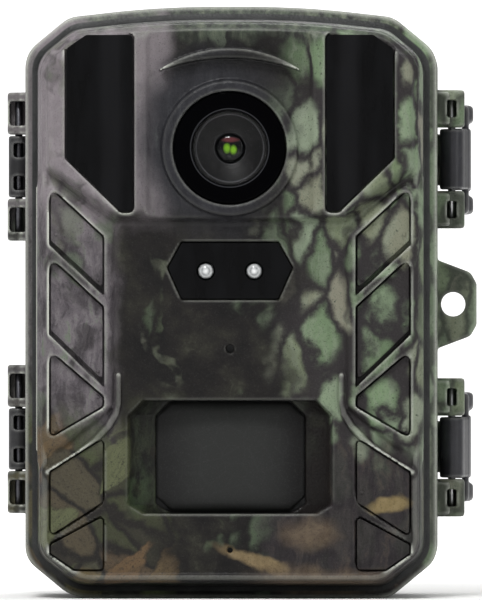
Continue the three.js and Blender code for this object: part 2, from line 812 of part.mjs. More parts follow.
const keyUp = caseHeight - key.down;
const keyPlaces = Array.from({ length: key.count }, (_, i) => (i - (key.count - 1) / 2) * key.pitch);
const keyNames = ['menu', 'left', 'up', 'down', 'right', 'ok'];
const screenUp = caseHeight - screen.down;
const sliderX = half - slider.side;
const sliderUp = caseHeight - slider.down;
const portX = -half + portSide;
const bayMiddle = bay.up + bay.wall + bayHeight / 2;

function addInnerPanel() {
  const plate = caseSolid([[panelFront, rim.width + gap + 0.1], [-panel.back, rim.width + gap + 0.1]]);
  const bayOuter = slab(
    0,
    bayMiddle,
    bayWidth + 2 * bay.wall,
    bayHeight + 2 * bay.wall,
    bayFront - bay.wall,
    -panel.back - 0.2,
  );
  const bayInner = slab(0, bayMiddle, bayWidth, bayHeight, bayFront, reach);
  const sliderSlot = { width: slider.width + 2 * gap, height: slider.height + slider.travel + 2 * gap };
  const through = (x, z, width, height) => slab(x, z, width, height, panelFront - 1, 0);
  const body = cut(
    joined(plate, bayOuter),
    bayInner,
    through(0, screenUp, screen.windowWidth, screen.windowHeight),
    ...keyPlaces.map((x) => through(x, keyUp, key.width + 2 * gap, key.height + 2 * gap)),
    through(sliderX, sliderUp + slider.travel / 2, sliderSlot.width, sliderSlot.height),
    through(portX, caseHeight - usb.down, usb.width + 2 * gap, usb.height + 2 * gap),
    through(portX, caseHeight - card.down, card.socketWidth + 2 * gap, card.socketThick + 2 * gap),
    rod(portX, caseHeight - power.down, power.radius + gap, panelFront - 1, 0, 20),
    ...bossPlaces.map(({ x, z }) => rod(x, z, screw.radius + gap, panelFront - 1, 0, 12)),
  );
  add('inner_panel', body, greyPlastic);
  for (const { name, x, z } of bossPlaces) {
    const headFront = -panel.back + gap;
    const head = rod(x, z, screw.headRadius, headFront, headFront + screw.headLength, 14);
    const slotCut = slab(x, z, 2.6, 0.6, headFront + screw.headLength - 0.4, headFront + 2);
    const crossCut = slab(x, z, 0.6, 2.6, headFront + screw.headLength - 0.4, headFront + 2);
    const shank = rod(x, z, screw.radius, headFront - screw.length, headFront + 0.3, 12);
    add(`panel_screw_${name}`, cut(joined(head, shank), slotCut, crossCut), steel);
  }
}

function addScreenAndKeys() {
  const screenBack = panelFront - gap;
  add('screen', slab(0, screenUp, screen.width, screen.height, screenBack - screen.thick, screenBack), glossBlack);

  const boardFront = -mainBoard.back - mainBoard.thick;
  const low = caseHeight - mainBoard.low;
  const top = caseHeight - mainBoard.high;
  const shelf = keyUp + key.height / 2 + 2.2;
  const right = half - mainBoard.side;
  const left = -screen.width / 2;
  const corners = [
    [-right, low, 0], [right, low, 0], [right, top - 14, 0], [right - 8, top - 14, 0],
    [right - 8, top, 0], [left, top, 0], [left, shelf, 0], [-right, shelf, 0],
  ];
  const plate = prism(corners, boardFront, -mainBoard.back);
  const w = mainBoard.switchWidth;
  const switches = keyPlaces.map((x) => (
    slab(x, keyUp, w, w, -mainBoard.back - 0.3, -mainBoard.back + mainBoard.switchHeight)
  ));
  const switchHigh = slider.height + slider.travel + 5;
  const switchBack = -mainBoard.back + slider.bodyThick;
  const switchUp = sliderUp + slider.travel / 2;
  const body = slab(sliderX, switchUp, slider.bodyWidth, switchHigh, -mainBoard.back - 0.3, switchBack);
  add('main_board', joined(plate, body, ...switches), board);

  const capBack = -panel.back + key.proud;
  const flangeBack = panelFront - gap;
  keyPlaces.forEach((x, i) => {
    const cap = slab(x, keyUp, key.width, key.height, flangeBack - 0.2, capBack);
    const flange = slab(x, keyUp, key.width + 1.6, key.height + 1.6, flangeBack - key.flange, flangeBack);
    const stem = slab(x, keyUp, 2.4, 2.4, flangeBack - key.flange - 0.8, flangeBack);
    add(`key_${keyNames[i]}`, joined(cap, flange, stem), rubber);
  });

  const knob = slab(sliderX, sliderUp, slider.width, slider.height, switchBack + gap, -panel.back + 1);
  add('switch_knob', knob, blackPlastic);
}

// ---------------------------------------------------------------------- sockets

function addSockets() {
  const boardBack = -portBoard.back;
  const low = caseHeight - portBoard.low;
  const high = caseHeight - portBoard.high;
  const boardFront = boardBack - portBoard.thick;
  const plate = slab(portX, (low + high) / 2, portBoard.width, high - low, boardFront, boardBack);
  add('socket_board', plate, board);
  const front = boardBack + gap;
  const back = -panel.back - 0.2;

  const usbUp = caseHeight - usb.down;
  const shell = slab(portX, usbUp, usb.width, usb.height, front, back);
  const hollow = slab(
    portX,
    usbUp,
    usb.width - usb.hollow,
    usb.height - usb.hollow,
    back - usb.depth,
    back + 1,
  );
  const tongue = slab(portX, usbUp, usb.width - 3, 0.9, back - usb.depth - 1, back - 1.5);
  add('usb_socket', joined(shell.subtract(hollow), tongue), steel);

  const cardUp = caseHeight - card.down;
  const cage = slab(portX, cardUp, card.socketWidth, card.socketThick, front, back);
  const cardBack = back + card.proud;
  const slot = slab(
    portX,
    cardUp,
    card.width + 2 * gap,
    card.thick + 2 * gap,
    cardBack - card.length - cardPush - gap,
    back + 1,
  );
  add('card_socket', cage.subtract(slot), steel);
  const cardSolid = slab(portX, cardUp, card.width, card.thick, cardBack - card.length, cardBack);
  add('memory_card', cardSolid, blackPlastic);

  const powerUp = caseHeight - power.down;
  const jack = rod(portX, powerUp, power.radius, front, back, 20);
  const bore = rod(portX, powerUp, power.bore, back - power.depth, back + 1, 20);
  const pin = rod(portX, powerUp, power.pin, back - power.depth - 1, back - 1, 10);
  add('power_socket', joined(jack.subtract(bore), pin), blackPlastic);
}

// --------------------------------------------------------------------- batteries

function addBatteries() {
  const pitch = 2 * cell.radius + bay.spare;
  const low = bayMiddle - cell.length / 2 - cell.nubLength / 2;
  const places = Array.from({ length: cell.count }, (_, i) => (i - (cell.count - 1) / 2) * pitch);
  places.forEach((x, i) => {
    const up = i % 2 === 0;
    const z0 = up ? low : low + cell.nubLength;
    const can = post(x, cellMiddle, cell.radius, z0, z0 + cell.length, 20);
    const nubLow = up ? z0 + cell.length - 0.5 : z0 - cell.nubLength;
    const nub = post(x, cellMiddle, cell.nub, nubLow, nubLow + cell.nubLength + 0.5, 12);
    add(`battery_${i + 1}`, joined(can, nub), cellSleeve);
  });

  const bayLow = bayMiddle - bayHeight / 2;
  const bayHigh = bayMiddle + bayHeight / 2;
  const strip = (name, first, last, top) => {
    const z0 = top ? bayHigh - gap - contact.thick : bayLow + gap;
    const y0 = cellMiddle - contact.height / 2;
    const x0 = places[first] - cell.radius + 1.5;
    const x1 = places[last] + cell.radius - 1.5;
    const plate = box(x0, x1, y0, y0 + contact.height, z0, z0 + contact.thick);
    const buttons = places.slice(first, last + 1).map((x) => {
      const from = top ? z0 - contact.buttonLength : z0 + 0.1;
      return post(x, cellMiddle, contact.button, from, from + contact.buttonLength + contact.thick - 0.1, 12);
    });
    add(name, joined(plate, ...buttons), steel);
  };
  strip('contact_top_left', 0, 1, true);
  strip('contact_top_right', 2, 3, true);
  strip('contact_bottom_left', 0, 0, false);
  strip('contact_bottom_middle', 1, 2, false);
  strip('contact_bottom_right', 3, 3, false);

  const lidFront = -panel.back - cover.thick;
  const lid = slab(0, bayMiddle, bayWidth - 2 * gap, bayHeight - 2 * gap, lidFront, -panel.back);
  const grip = slab(0, bayMiddle + bayHeight / 2 - 4, cover.tab, 1.6, -panel.back - 0.2, -panel.back + 1);
  add('battery_cover', joined(lid, grip), greyPlastic);
}

// ---------------------------------------------------------------------- rear half

function strapBar(side) {
  const middle = caseHeight / 2;
  const x0 = side * strap.side - strap.width / 2;
  const back = rearDepth + strap.slotDepth + strap.bridge;
  const bar = box(x0, x0 + strap.width, rearDepth - 1, back, middle - strap.half, middle + strap.half);
  const slot = box(
    x0 - 1, x0 + strap.width + 1, rearDepth, rearDepth + strap.slotDepth,
    middle - strap.slotHalf, middle + strap.slotHalf,
  );
  const count = Math.floor((strap.half - strap.slotHalf - 4) / tooth.pitch);
  const notches = [-1, 1].flatMap((end) => (
    Array.from({ length: count }, (_, i) => {
      const at = middle + end * (strap.slotHalf + 4 + (i + 0.5) * tooth.pitch);
      const wedge = [[0, -tooth.pitch / 2], [tooth.depth + 0.1, 0], [0, tooth.pitch / 2]];
      const shape = new THREE.Shape(wedge.map(([depth, z]) => new THREE.Vector2(z, depth)));
      const geometry = new THREE.ExtrudeGeometry(shape, { depth: strap.width + 2, bevelEnabled: false });
      geometry.rotateY(Math.PI / 2);
      geometry.rotateX(Math.PI);
      return solid(geometry.translate(x0 - 1, back + 0.1, at));
    })
  ));
  return cut(bar, slot, ...notches);
}

function catchRidge(z) {
  const end = -latch.forward + ridge.end;
  return box(half - 2, latchX - ridge.reach, end - ridge.thick, end, z - ridge.half, z + ridge.half);
}

function rearHousing() {
  const front = partingGap;
  const outer = caseSolid([
    [front, rearInset],
    [rearDepth - 3, rearInset],
    [rearDepth - 0.9, 1.2],
    [rearDepth, 2.6],
  ]);
  const inner = caseSolid([
    [front - reach, rearInset + rim.width + 1],
    [front + rim.depth + 0.4, rearInset + rim.width + 1],
    [front + rim.depth + 1.4, rearInset + wall],
    [rearDepth - wall, rearInset + wall + 0.6],
  ]);
  const grooveOuter = caseSolid([
    [front - reach, seal.inset - gap],
    [front + seal.depth + gap, seal.inset - gap],
  ]);
  const grooveInner = caseSolid([
    [front - reach - 1, seal.inset + seal.width + gap],
    [front + seal.depth + gap + 1, seal.inset + seal.width + gap],
  ]);
  const bossTop = tripod.bossHeight;
  const bossRound = post(0, tripod.back, tripod.radius + gap + tripod.bossWall, 0, bossTop, 28);
  const bossFill = bossRound.intersect(box(-20, 20, front, rearDepth, 0, bossTop));
  return cut(
    joined(
      outer.subtract(inner),
      bossFill,
      strapBar(-1),
      strapBar(1),
      ...Object.values(latches).map(catchRidge),
      padlockTab(partingGap + 0.1, partingGap + tab.thick),
      ...Object.values(hinges).map((z) => linkSeat(z)),
    ),
    grooveOuter.subtract(grooveInner).subtract(box(-9, 9, -1, 20, -1, 2)),
    post(0, tripod.back, tripod.radius + gap, -1, tripod.up + 2 * gap, 28),
    ...Object.values(hinges).map((z) => linkSocket(z)),
  );
}

// Each link's arm ends in a socket on the rear half's side wall.
function linkSeat(z) {
  const low = z - hinge.link / 2 + 1;
  const high = z + hinge.link / 2 - 1;
  return box(-half + rearInset - 0.4, -half + wall + 4, 2.5, linkArm.far + 1.5, low, high);
}

function linkSocket(z) {
  const low = z - hinge.link / 2 + 2.2;
  const high = z + hinge.link / 2 - 2.2;
  return box(-half - 2, -half + wall + 1.6, linkArm.far - linkArm.thick, linkArm.far + gap, low, high);
}

function hingeLink(z) {
  const low = z - hinge.link / 2;
  const high = z + hinge.link / 2;
  const radius = hinge.radius - 0.3;
  const arm = plan([
    [hingeX - radius, 0],
    [hingeX + radius - 0.6, 0],
    [hingeX + radius - 0.2, linkArm.far - linkArm.thick + gap],
    [hingeX + radius - 0.2, linkArm.far],
    [hingeX - radius + 1.2, linkArm.far],
    [hingeX - radius, linkArm.far - 2],
  ], low, high);
  const tenon = box(
    hingeX,
    -half + wall + 1.3,
    linkArm.far - linkArm.thick + gap,
    linkArm.far,
    z - hinge.link / 2 + 2.5,
    z + hinge.link / 2 - 2.5,
  );
  const window = (at) => box(
    hingeX - linkWindow.width / 2,
    hingeX + linkWindow.width / 2,
    -5,
    0.9,
    at - linkWindow.height / 2,
    at + linkWindow.height / 2,
  );
  const offset = hinge.link / 2 - linkWindow.from - linkWindow.height / 2;
  return cut(
    joined(post(hingeX, 0, radius, low, high), arm, tenon),
    post(hingeX, 0, hingePin.radius + gap, low - 1, high + 1),
    window(z + offset),
    window(z - offset),
  );
}

function addRearHalf() {
  add('rear_housing', rearHousing(), camo);
  const ring = caseSolid([[gap, seal.inset], [partingGap + seal.depth, seal.inset]]);
  const hole = caseSolid([[-1, seal.inset + seal.width], [9, seal.inset + seal.width]]);
  add('case_seal', ring.subtract(hole).subtract(box(-9.3, 9.3, -1, 20, -1, 4)), rubber);
  const insert = post(0, tripod.back, tripod.radius, gap, tripod.up + gap, 28);
  const thread = post(0, tripod.back, tripod.bore, -1, tripod.up - 0.8, 20);
  add('tripod_insert', insert.subtract(thread), brass);
  for (const [name, z] of Object.entries(hinges)) {
    add(`hinge_link_${name}`, hingeLink(z), blackPlastic);
    const reachUp = hinge.link / 2 + gap + hinge.knuckle - 0.6;
    add(`hinge_pin_${name}`, post(hingeX, 0, hingePin.radius, z - reachUp, z + reachUp, 12), steel);
  }
}

// ------------------------------------------------------------------------ latches

// Points on the lever are measured from its pin.
function latchLever(z) {
  const at = ([x, y]) => [latchX + x, -latch.forward + y];
  const from = z - latch.barrel / 2;
  const to = z + latch.barrel / 2;
  const neck = plan([[0.6, 0], [latch.radius, 0], [lever.outer, lever.start], [lever.outer, lever.start + 2],
    [lever.inner, lever.start + 2], [lever.inner, lever.start]].map(at), from, to);
  const plate = plan([[lever.inner, lever.start], [lever.outer, lever.start], [lever.outer, lever.end],
    [lever.inner, lever.end]].map(at), z - lever.half, z + lever.half);
  const foot = (z0) => plan([[lever.inner, leverFoot.start], [lever.outer, leverFoot.start],
    [leverFoot.outer, leverFoot.start + 2], [leverFoot.outer, lever.end],
    [lever.inner, lever.end]].map(at), z0, z0 + leverFoot.height);
  const hook = plan([[-nose.reach, nose.start], [lever.inner + 0.5, nose.start], [lever.inner + 0.5, nose.end],
    [-nose.reach + 0.9, nose.end]].map(at), z - nose.half, z + nose.half);
  return cut(
    joined(
      post(latchX, -latch.forward, latch.radius, from, to, 20),
      neck,
      plate,
      foot(z + lever.half - leverFoot.height),
      foot(z - lever.half),
      hook,
    ),
    post(latchX, -latch.forward, hingePin.radius + gap, from - 1, to + 1),
  );
}

function addLatches() {
  for (const [name, z] of Object.entries(latches)) {
    add(`latch_${name}`, latchLever(z), greyPlastic);
    const reachUp = latch.barrel / 2 + gap + latch.knuckle - 0.6;
    const pin = post(latchX, -latch.forward, hingePin.radius, z - reachUp, z + reachUp, 12);
    add(`latch_pin_${name}`, pin, steel);
  }
}

// ------------------------------------------------------------------------ assembly

add('front_housing', frontHousing(), camo);
addLampWindows();
addOptics();
addIndicators();
addMotionSensor();
addInnerPanel();
addScreenAndKeys();
addSockets();
addBatteries();
addRearHalf();
addLatches();

// The origin is under the middle of the whole object.
const sides = [hingeX - hinge.radius, half + tab.out];
const ends = [columnFront - hood.rise, rearDepth + strap.slotDepth + strap.bridge];
camera.position.set(-(sides[0] + sides[1]) / 2, -(ends[0] + ends[1]) / 2, 0);

export default camera;
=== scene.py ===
import math

import bpy
import numpy as np
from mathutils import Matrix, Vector


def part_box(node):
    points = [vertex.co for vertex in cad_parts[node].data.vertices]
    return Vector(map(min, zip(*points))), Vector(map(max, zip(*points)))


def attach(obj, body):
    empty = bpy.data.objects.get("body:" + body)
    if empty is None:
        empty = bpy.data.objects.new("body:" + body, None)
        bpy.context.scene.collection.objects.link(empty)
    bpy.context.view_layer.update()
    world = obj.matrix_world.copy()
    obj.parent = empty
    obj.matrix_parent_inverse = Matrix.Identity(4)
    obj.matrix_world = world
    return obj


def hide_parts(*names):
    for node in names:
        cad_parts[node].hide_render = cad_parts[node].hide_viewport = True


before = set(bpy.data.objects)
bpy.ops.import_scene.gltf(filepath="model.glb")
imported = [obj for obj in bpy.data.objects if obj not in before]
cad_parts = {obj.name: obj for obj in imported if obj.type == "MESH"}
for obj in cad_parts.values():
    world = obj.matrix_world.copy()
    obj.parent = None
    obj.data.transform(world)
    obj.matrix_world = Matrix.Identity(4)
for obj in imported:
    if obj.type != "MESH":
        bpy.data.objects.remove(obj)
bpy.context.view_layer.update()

# The case's own axes, measured in the frame.
glass_low, glass_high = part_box("lens_window")
ORIGIN = np.array([
    (glass_low.x + glass_high.x) * 500,
    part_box("rear_housing")[0].y * 1000 - 0.4,
    0.0,
])


# ------------------------------------------------------------------ mesh makers


def new_piece(name, verts, faces, material, body, nodes, slot):
    """A mesh object from points in millimetres, in place of nodes of one body of the frame."""
    mesh = bpy.data.meshes.new(name)
    points = (np.asarray(verts, float) + ORIGIN) / 1000
    mesh.from_pydata([tuple(p) for p in points], [], [tuple(f) for f in faces])
    mesh.validate()
    mesh.polygons.foreach_set("use_smooth", [True] * len(mesh.polygons))
    piece = bpy.data.objects.new(name, mesh)
    bpy.context.scene.collection.objects.link(piece)
    mesh.materials.append(material)
    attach(piece, body)
    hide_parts(*nodes)
    return piece


def bevelled(piece, width, segments):
    bevel = piece.modifiers.new("bevel", "BEVEL")
    bevel.width = width / 1000
    bevel.segments = segments
    bevel.limit_method = "ANGLE"
    bevel.angle_limit = math.radians(35)
    normals = piece.modifiers.new("normals", "WEIGHTED_NORMAL")
    normals.keep_sharp = True


def merge(parts):
    """Several (verts, faces) pairs as one."""
    verts, faces = [], []
    for points, polygons in parts:
        start = len(verts)
        verts += [tuple(p) for p in points]
        faces += [tuple(start + i for i in polygon) for polygon in polygons]
    return verts, faces


def prism(corners, front, back):
    """A plate with this outline in X and Z, from front to back in Y."""
    count = len(corners)
    verts = [(x, front, z) for x, z in corners] + [(x, back, z) for x, z in corners]
    around = range(count)
    faces = [tuple(around), tuple(count + i for i in reversed(around))]
    faces += [(i, count + i, count + (i + 1) % count, (i + 1) % count) for i in around]
    return verts, faces


def rounded(corners, radius, steps):
    """The outline with its corners rounded, for corners given anticlockwise."""
    out = []
    count = len(corners)
    for i in range(count):
        here = np.array(corners[i], float)
        before = np.array(corners[i - 1], float) - here
        after = np.array(corners[(i + 1) % count], float) - here
        room = min(np.linalg.norm(before), np.linalg.norm(after)) * 0.45
        before /= np.linalg.norm(before)
        after /= np.linalg.norm(after)
        angle = math.acos(float(np.clip(before @ after, -1, 1)))
        away = min(radius / math.tan(angle / 2), room)
        for step in range(steps + 1):
            t = step / steps
            point = here + before * away * (1 - t) ** 2 + after * away * t ** 2
            out.append(tuple(point))
    return out


def lathe(profile, centre, axis="y", segments=72):
    """A turned solid from (radius, distance along the axis) points."""
    verts, faces, rings = [], [], []
    for radius, along in profile:
        around = segments if radius > 1e-6 else 1
        rings.append(range(len(verts), len(verts) + around))
        for i in range(around):
            turn = 2 * math.pi * i / segments
            u, v = radius * math.cos(turn), radius * math.sin(turn)
            if axis == "y":
                verts.append((centre[0] + u, along, centre[1] - v))
            else:
                verts.append((centre[0] + u, centre[1] + v, along))
    for one, two in zip(rings, rings[1:]):
        for i in range(segments if len(one) + len(two) > 2 else 0):
            j = (i + 1) % segments
            corners = (one[i % len(one)], one[j % len(one)], two[j % len(two)], two[i % len(two)])
            faces.append(tuple(dict.fromkeys(corners)))
    return verts, faces


def arc(radius, start, end, middle, steps=6):
    """Points on a quarter round, for the corners of turned profiles."""
    turns = [math.radians(start + (end - start) * i / steps) for i in range(steps + 1)]
    return [(middle[0] + radius * math.cos(t), middle[1] + radius * math.sin(t)) for t in turns]


def domed(radius, foot, height):
    """The profile of a dome that stands out towards the front."""
    turns = [math.radians(a) for a in range(0, 91, 9)]
    return [(radius * math.sin(t), foot - height * math.cos(t)) for t in turns]


# ---------------------------------------------------- solids as distance fields


def smax(a, b, k=0.5):
    blend = np.maximum(k - np.abs(a - b), 0) / k
    return np.maximum(a, b) + blend * blend * (k / 4)


def smin(a, b, k=0.5):
    return -smax(-a, -b, k)


def slab(value, low, high):
    return np.maximum(low - value, value - high)


def convex(x, z, corners, radius=0.5):
    """Distance to a convex outline whose corners go anticlockwise, X right and Z up."""
    radii = radius if isinstance(radius, (list, tuple)) else [radius] * len(corners)
    total, before = None, None
    for i, (x0, z0) in enumerate(corners):
        x1, z1 = corners[(i + 1) % len(corners)]
        length = math.hypot(x1 - x0, z1 - z0)
        nx, nz = (z1 - z0) / length, -(x1 - x0) / length
        side = nx * x + nz * z - (nx * x0 + nz * z0)
        if total is None:
            total = side
        else:
            turn = math.acos(max(-1.0, min(1.0, nx * before[0] + nz * before[1])))
            k = max(4 * radii[i] * (1 / math.cos(min(turn, 2.4) / 2) - 1), 0.01)
            total = smax(total, side, k)
        before = (nx, nz)
    return total


def mirrored(corners):
    return [(-x, z) for x, z in reversed(corners)]


def block(x, y, z, low, high, radius=0.4):
    """Distance to a box with softened edges."""
    k = 1.66 * radius
    out = smax(low[0] - x, x - high[0], 0.01)
    out = smax(out, smax(low[1] - y, y - high[1], 0.01), k)
    return smax(out, smax(low[2] - z, z - high[2], 0.01), k)


def pairs(grid, d):
    """The grid's values, and each one's neighbour along axis d."""
    first, second = [slice(None)] * 3, [slice(None)] * 3
    first[d], second[d] = slice(0, -1), slice(1, None)
    return grid[tuple(first)], grid[tuple(second)]


def beside(edges, d):
    """The four cells round each grid edge along axis d, in turn."""
    for du, dv in ((1, 1), (0, 1), (0, 0), (1, 0)):
        cell = edges.copy()
        cell[:, (d + 1) % 3] -= du
        cell[:, (d + 2) % 3] -= dv
        yield cell


def sampled(field, points, reach):
    """The field a little way off each point, along X, Y and Z and then back along each."""
    ways = np.concatenate([np.eye(3), -np.eye(3)]) * reach
    return [field(*(points + way).T) for way in ways]


def gradient(field, points, reach):
    near = sampled(field, points, reach)
    return np.stack([(near[d] - near[d + 3]) / (2 * reach) for d in range(3)], axis=1)


def field_mesh(field, low, high, step):
    """The surface where the field is zero: a grid of cells, one point in each cell that it crosses."""
    axes = [np.arange(low[d] - step, high[d] + 2 * step, step) for d in range(3)]
    value = field(*np.ix_(*axes)).astype(np.float32)
    value[np.abs(value) < 1e-5] = 1e-5
    cells = tuple(n - 1 for n in value.shape)
    total = np.zeros((*cells, 3))
    count = np.zeros(cells, np.int64)
    for d in range(3):
        a, b = pairs(value, d)
        crossed = (a < 0) != (b < 0)
        where = np.argwhere(crossed)
        spot = where.astype(np.float32)
        spot[:, d] += a[crossed] / (a[crossed] - b[crossed])
        for cell in beside(where, d):
            good = np.all((cell >= 0) & (cell < cells), axis=1)
            flat = np.ravel_multi_index(tuple(cell[good].T), cells)
            count += np.bincount(flat, minlength=count.size).reshape(cells)
            for k in range(3):
                sums = np.bincount(flat, weights=spot[good][:, k], minlength=count.size)
                total[..., k] += sums.reshape(cells)
    used = count > 0
    number = np.full(cells, -1, np.int64)
    number[used] = np.arange(int(used.sum()))
    points = total[used] / count[used][:, None] * step + np.array([axis[0] for axis in axes])

    faces = []
    for d in range(3):
        a, b = pairs(value < 0, d)
        others = [(d + 1) % 3, (d + 2) % 3]
        ends = np.array(value.shape)[others] - 1
        for outward in (True, False):
            where = np.argwhere(a & ~b if outward else ~a & b)
            good = np.all((where[:, others] > 0) & (where[:, others] < ends), axis=1)
            quad = np.stack([number[tuple(cell.T)] for cell in beside(where[good], d)], axis=1)
            faces.append(quad if outward else quad[:, ::-1])
    faces = np.concatenate(faces)

    # drawn onto the true surface, where the sharp edges are
    for _ in range(3):
        slope = gradient(field, points, 0.02)
        move = field(*points.T) / np.maximum(np.sum(slope * slope, axis=1), 0.05)
        points -= slope * np.clip(move, -step * 0.5, step * 0.5)[:, None]
    slope = gradient(field, points, 0.12)
    normals = slope / np.maximum(np.linalg.norm(slope, axis=1), 1e-6)[:, None]
    bend = np.clip(0.5 + sum(sampled(field, points, 0.5)) / 6 * 2.8, 0, 1)
    # evened out over each point's neighbours, so that narrow ribs read as a line
    uses = np.maximum(np.bincount(faces.ravel(), minlength=len(points)), 1)
    shares = np.repeat(bend[faces].mean(axis=1), 4)
    bend = np.bincount(faces.ravel(), weights=shares, minlength=len(points)) / uses
    return points, faces, normals, bend


def raised(field, up):
    """The same field, higher up the case."""
    return lambda x, y, z: field(x, y, z - up)


def solid(name, field, low, high, step, material, body, nodes, slot):
    """A piece moulded from a distance field."""
    points, faces, normals, bend = field_mesh(field, low, high, step)
    piece = new_piece(name, points, faces.tolist(), material, body, nodes, slot)
    inset = -case_distance(points[:, 0], points[:, 2])
    for label, values in (("bend", bend), ("inset", inset)):
        attribute = piece.data.attributes.new(label, "FLOAT", "POINT")
        attribute.data.foreach_set("value", values.astype(np.float32))
    piece.data.normals_split_custom_set_from_vertices([tuple(n) for n in normals])
    return piece


def pin(name, centre, up, half, material, body, node):
    """An upright steel pin with broken edges."""
    ends = [(0, -half), (0.6, -half), (0.8, 0.2 - half), (0.8, half - 0.2), (0.6, half), (0, half)]
    turned = lathe([(radius, up + along) for radius, along in ends], centre, "z", 24)
    new_piece(name, *turned, material, body, [node], "steel")


# ----------------------------------------------------------------- case outlines

HALF = 43.55
FRONT = -36.0
BLOCK_FRONT = -39.5
COLUMN_FRONT = -38.0
WING_FRONT = -37.6
LENS_UP = 95.0
HINGE_X = -46.0
HINGES = {"upper": 91.5, "lower": 33.3}
LATCH_X = 46.55
LATCH_Y = -5.0
LATCHES = {"upper": 93.0, "lower": 31.6}
TAB_UP = 62.1
LAMP_X, LAMP_UP = 5.1, 69.1
HOOD_ARC_UP, HOOD_ARC = 71.9, 42.2
PIN_BORE = 1.1
GLASS_FRONT = -38.6
BARREL_FRONT = -37.2

CASE = [
    (-33.55, 0), (33.55, 0), (43.55, 8.2), (43.55, 115.2), (34.35, 122.8),
    (15, 125), (-15, 125), (-34.35, 122.8), (-43.55, 115.2), (-43.55, 8.2),
]
CASE_RADII = [5, 5, 5, 6, 6, 190, 190, 6, 6, 5]

WING = [(25.3, 40.9), (38.4, 30.2), (38.4, 88.3), (25.3, 76.7)]
PADS = [
    [(26.8, 65.3), (37.8, 75.5), (37.8, 86.5), (26.8, 76.3)],
    [(26.8, 46.0), (37.8, 56.6), (37.8, 71.7), (26.8, 61.5)],
    [(26.8, 40.6), (37.8, 34.2), (37.8, 52.0), (26.8, 42.6)],
    [(26.8, 20.4), (37.8, 13.4), (37.8, 26.7), (26.8, 33.7)],
    [(26.8, 6.2), (32.8, 6.2), (37.8, 9.6), (37.8, 11.4), (26.8, 17.3)],
]
LIP = [
    (23.6, 47.0), (23.6, 41.2), (24.1, 38.9), (25.6, 36.4), (28.4, 33.4), (32.0, 30.5), (35.4, 28.3),
    (38.4, 26.8),
]
LAMP_WINDOW = [
    (20.4, 81.7), (22.9, 81.7), (34.4, 92.86), (34.4, 115.9), (30.2, 118.8), (20.4, 118.8),
]
INDICATOR = [(-13, 69.8), (-10.1, 63.3), (10.1, 63.3), (13, 69.8), (10.1, 75.0), (-10.1, 75.0)]


def recess_outline(half):
    side = [(half - 3.2, 18.0), (half, 19.92), (half, 38.6), (half - 3.2, 41.8)]
    return side + mirrored(side)


def shift(corners, by):
    """The outline moved outward by a distance, for windows seated in pockets."""
    count = len(corners)
    out = []
    for i in range(count):
        a, b, c = (np.array(corners[(i + k) % count], float) for k in (-1, 0, 1))
        one, two = (b - a) / np.linalg.norm(b - a), (c - b) / np.linalg.norm(c - b)
        n1, n2 = np.array([one[1], -one[0]]), np.array([two[1], -two[0]])
        out.append(tuple(b + by * (n1 + n2) / (1 + n1 @ n2)))
    return out


def route(x, z, points):
    """Distance to a line of straight runs."""
    near = None
    for (x0, z0), (x1, z1) in zip(points, points[1:]):
        dx, dz = x1 - x0, z1 - z0
        along = np.clip(((x - x0) * dx + (z - z0) * dz) / (dx * dx + dz * dz), 0, 1)
        far = np.hypot(x - x0 - along * dx, z - z0 - along * dz)
        near = far if near is None else np.minimum(near, far)
    return near


def case_distance(x, z):
    return convex(x, z, CASE, CASE_RADII)


# ---------------------------------------------------------------------- materials


def tone(*channels):
    """A colour, or one grey, given in display values, 0 to 255."""
    linear = []
    for value in channels * (3 // len(channels)):
        c = value / 255
        linear.append(c / 12.92 if c <= 0.04045 else ((c + 0.055) / 1.055) ** 2.4)
    return (*linear, 1.0)


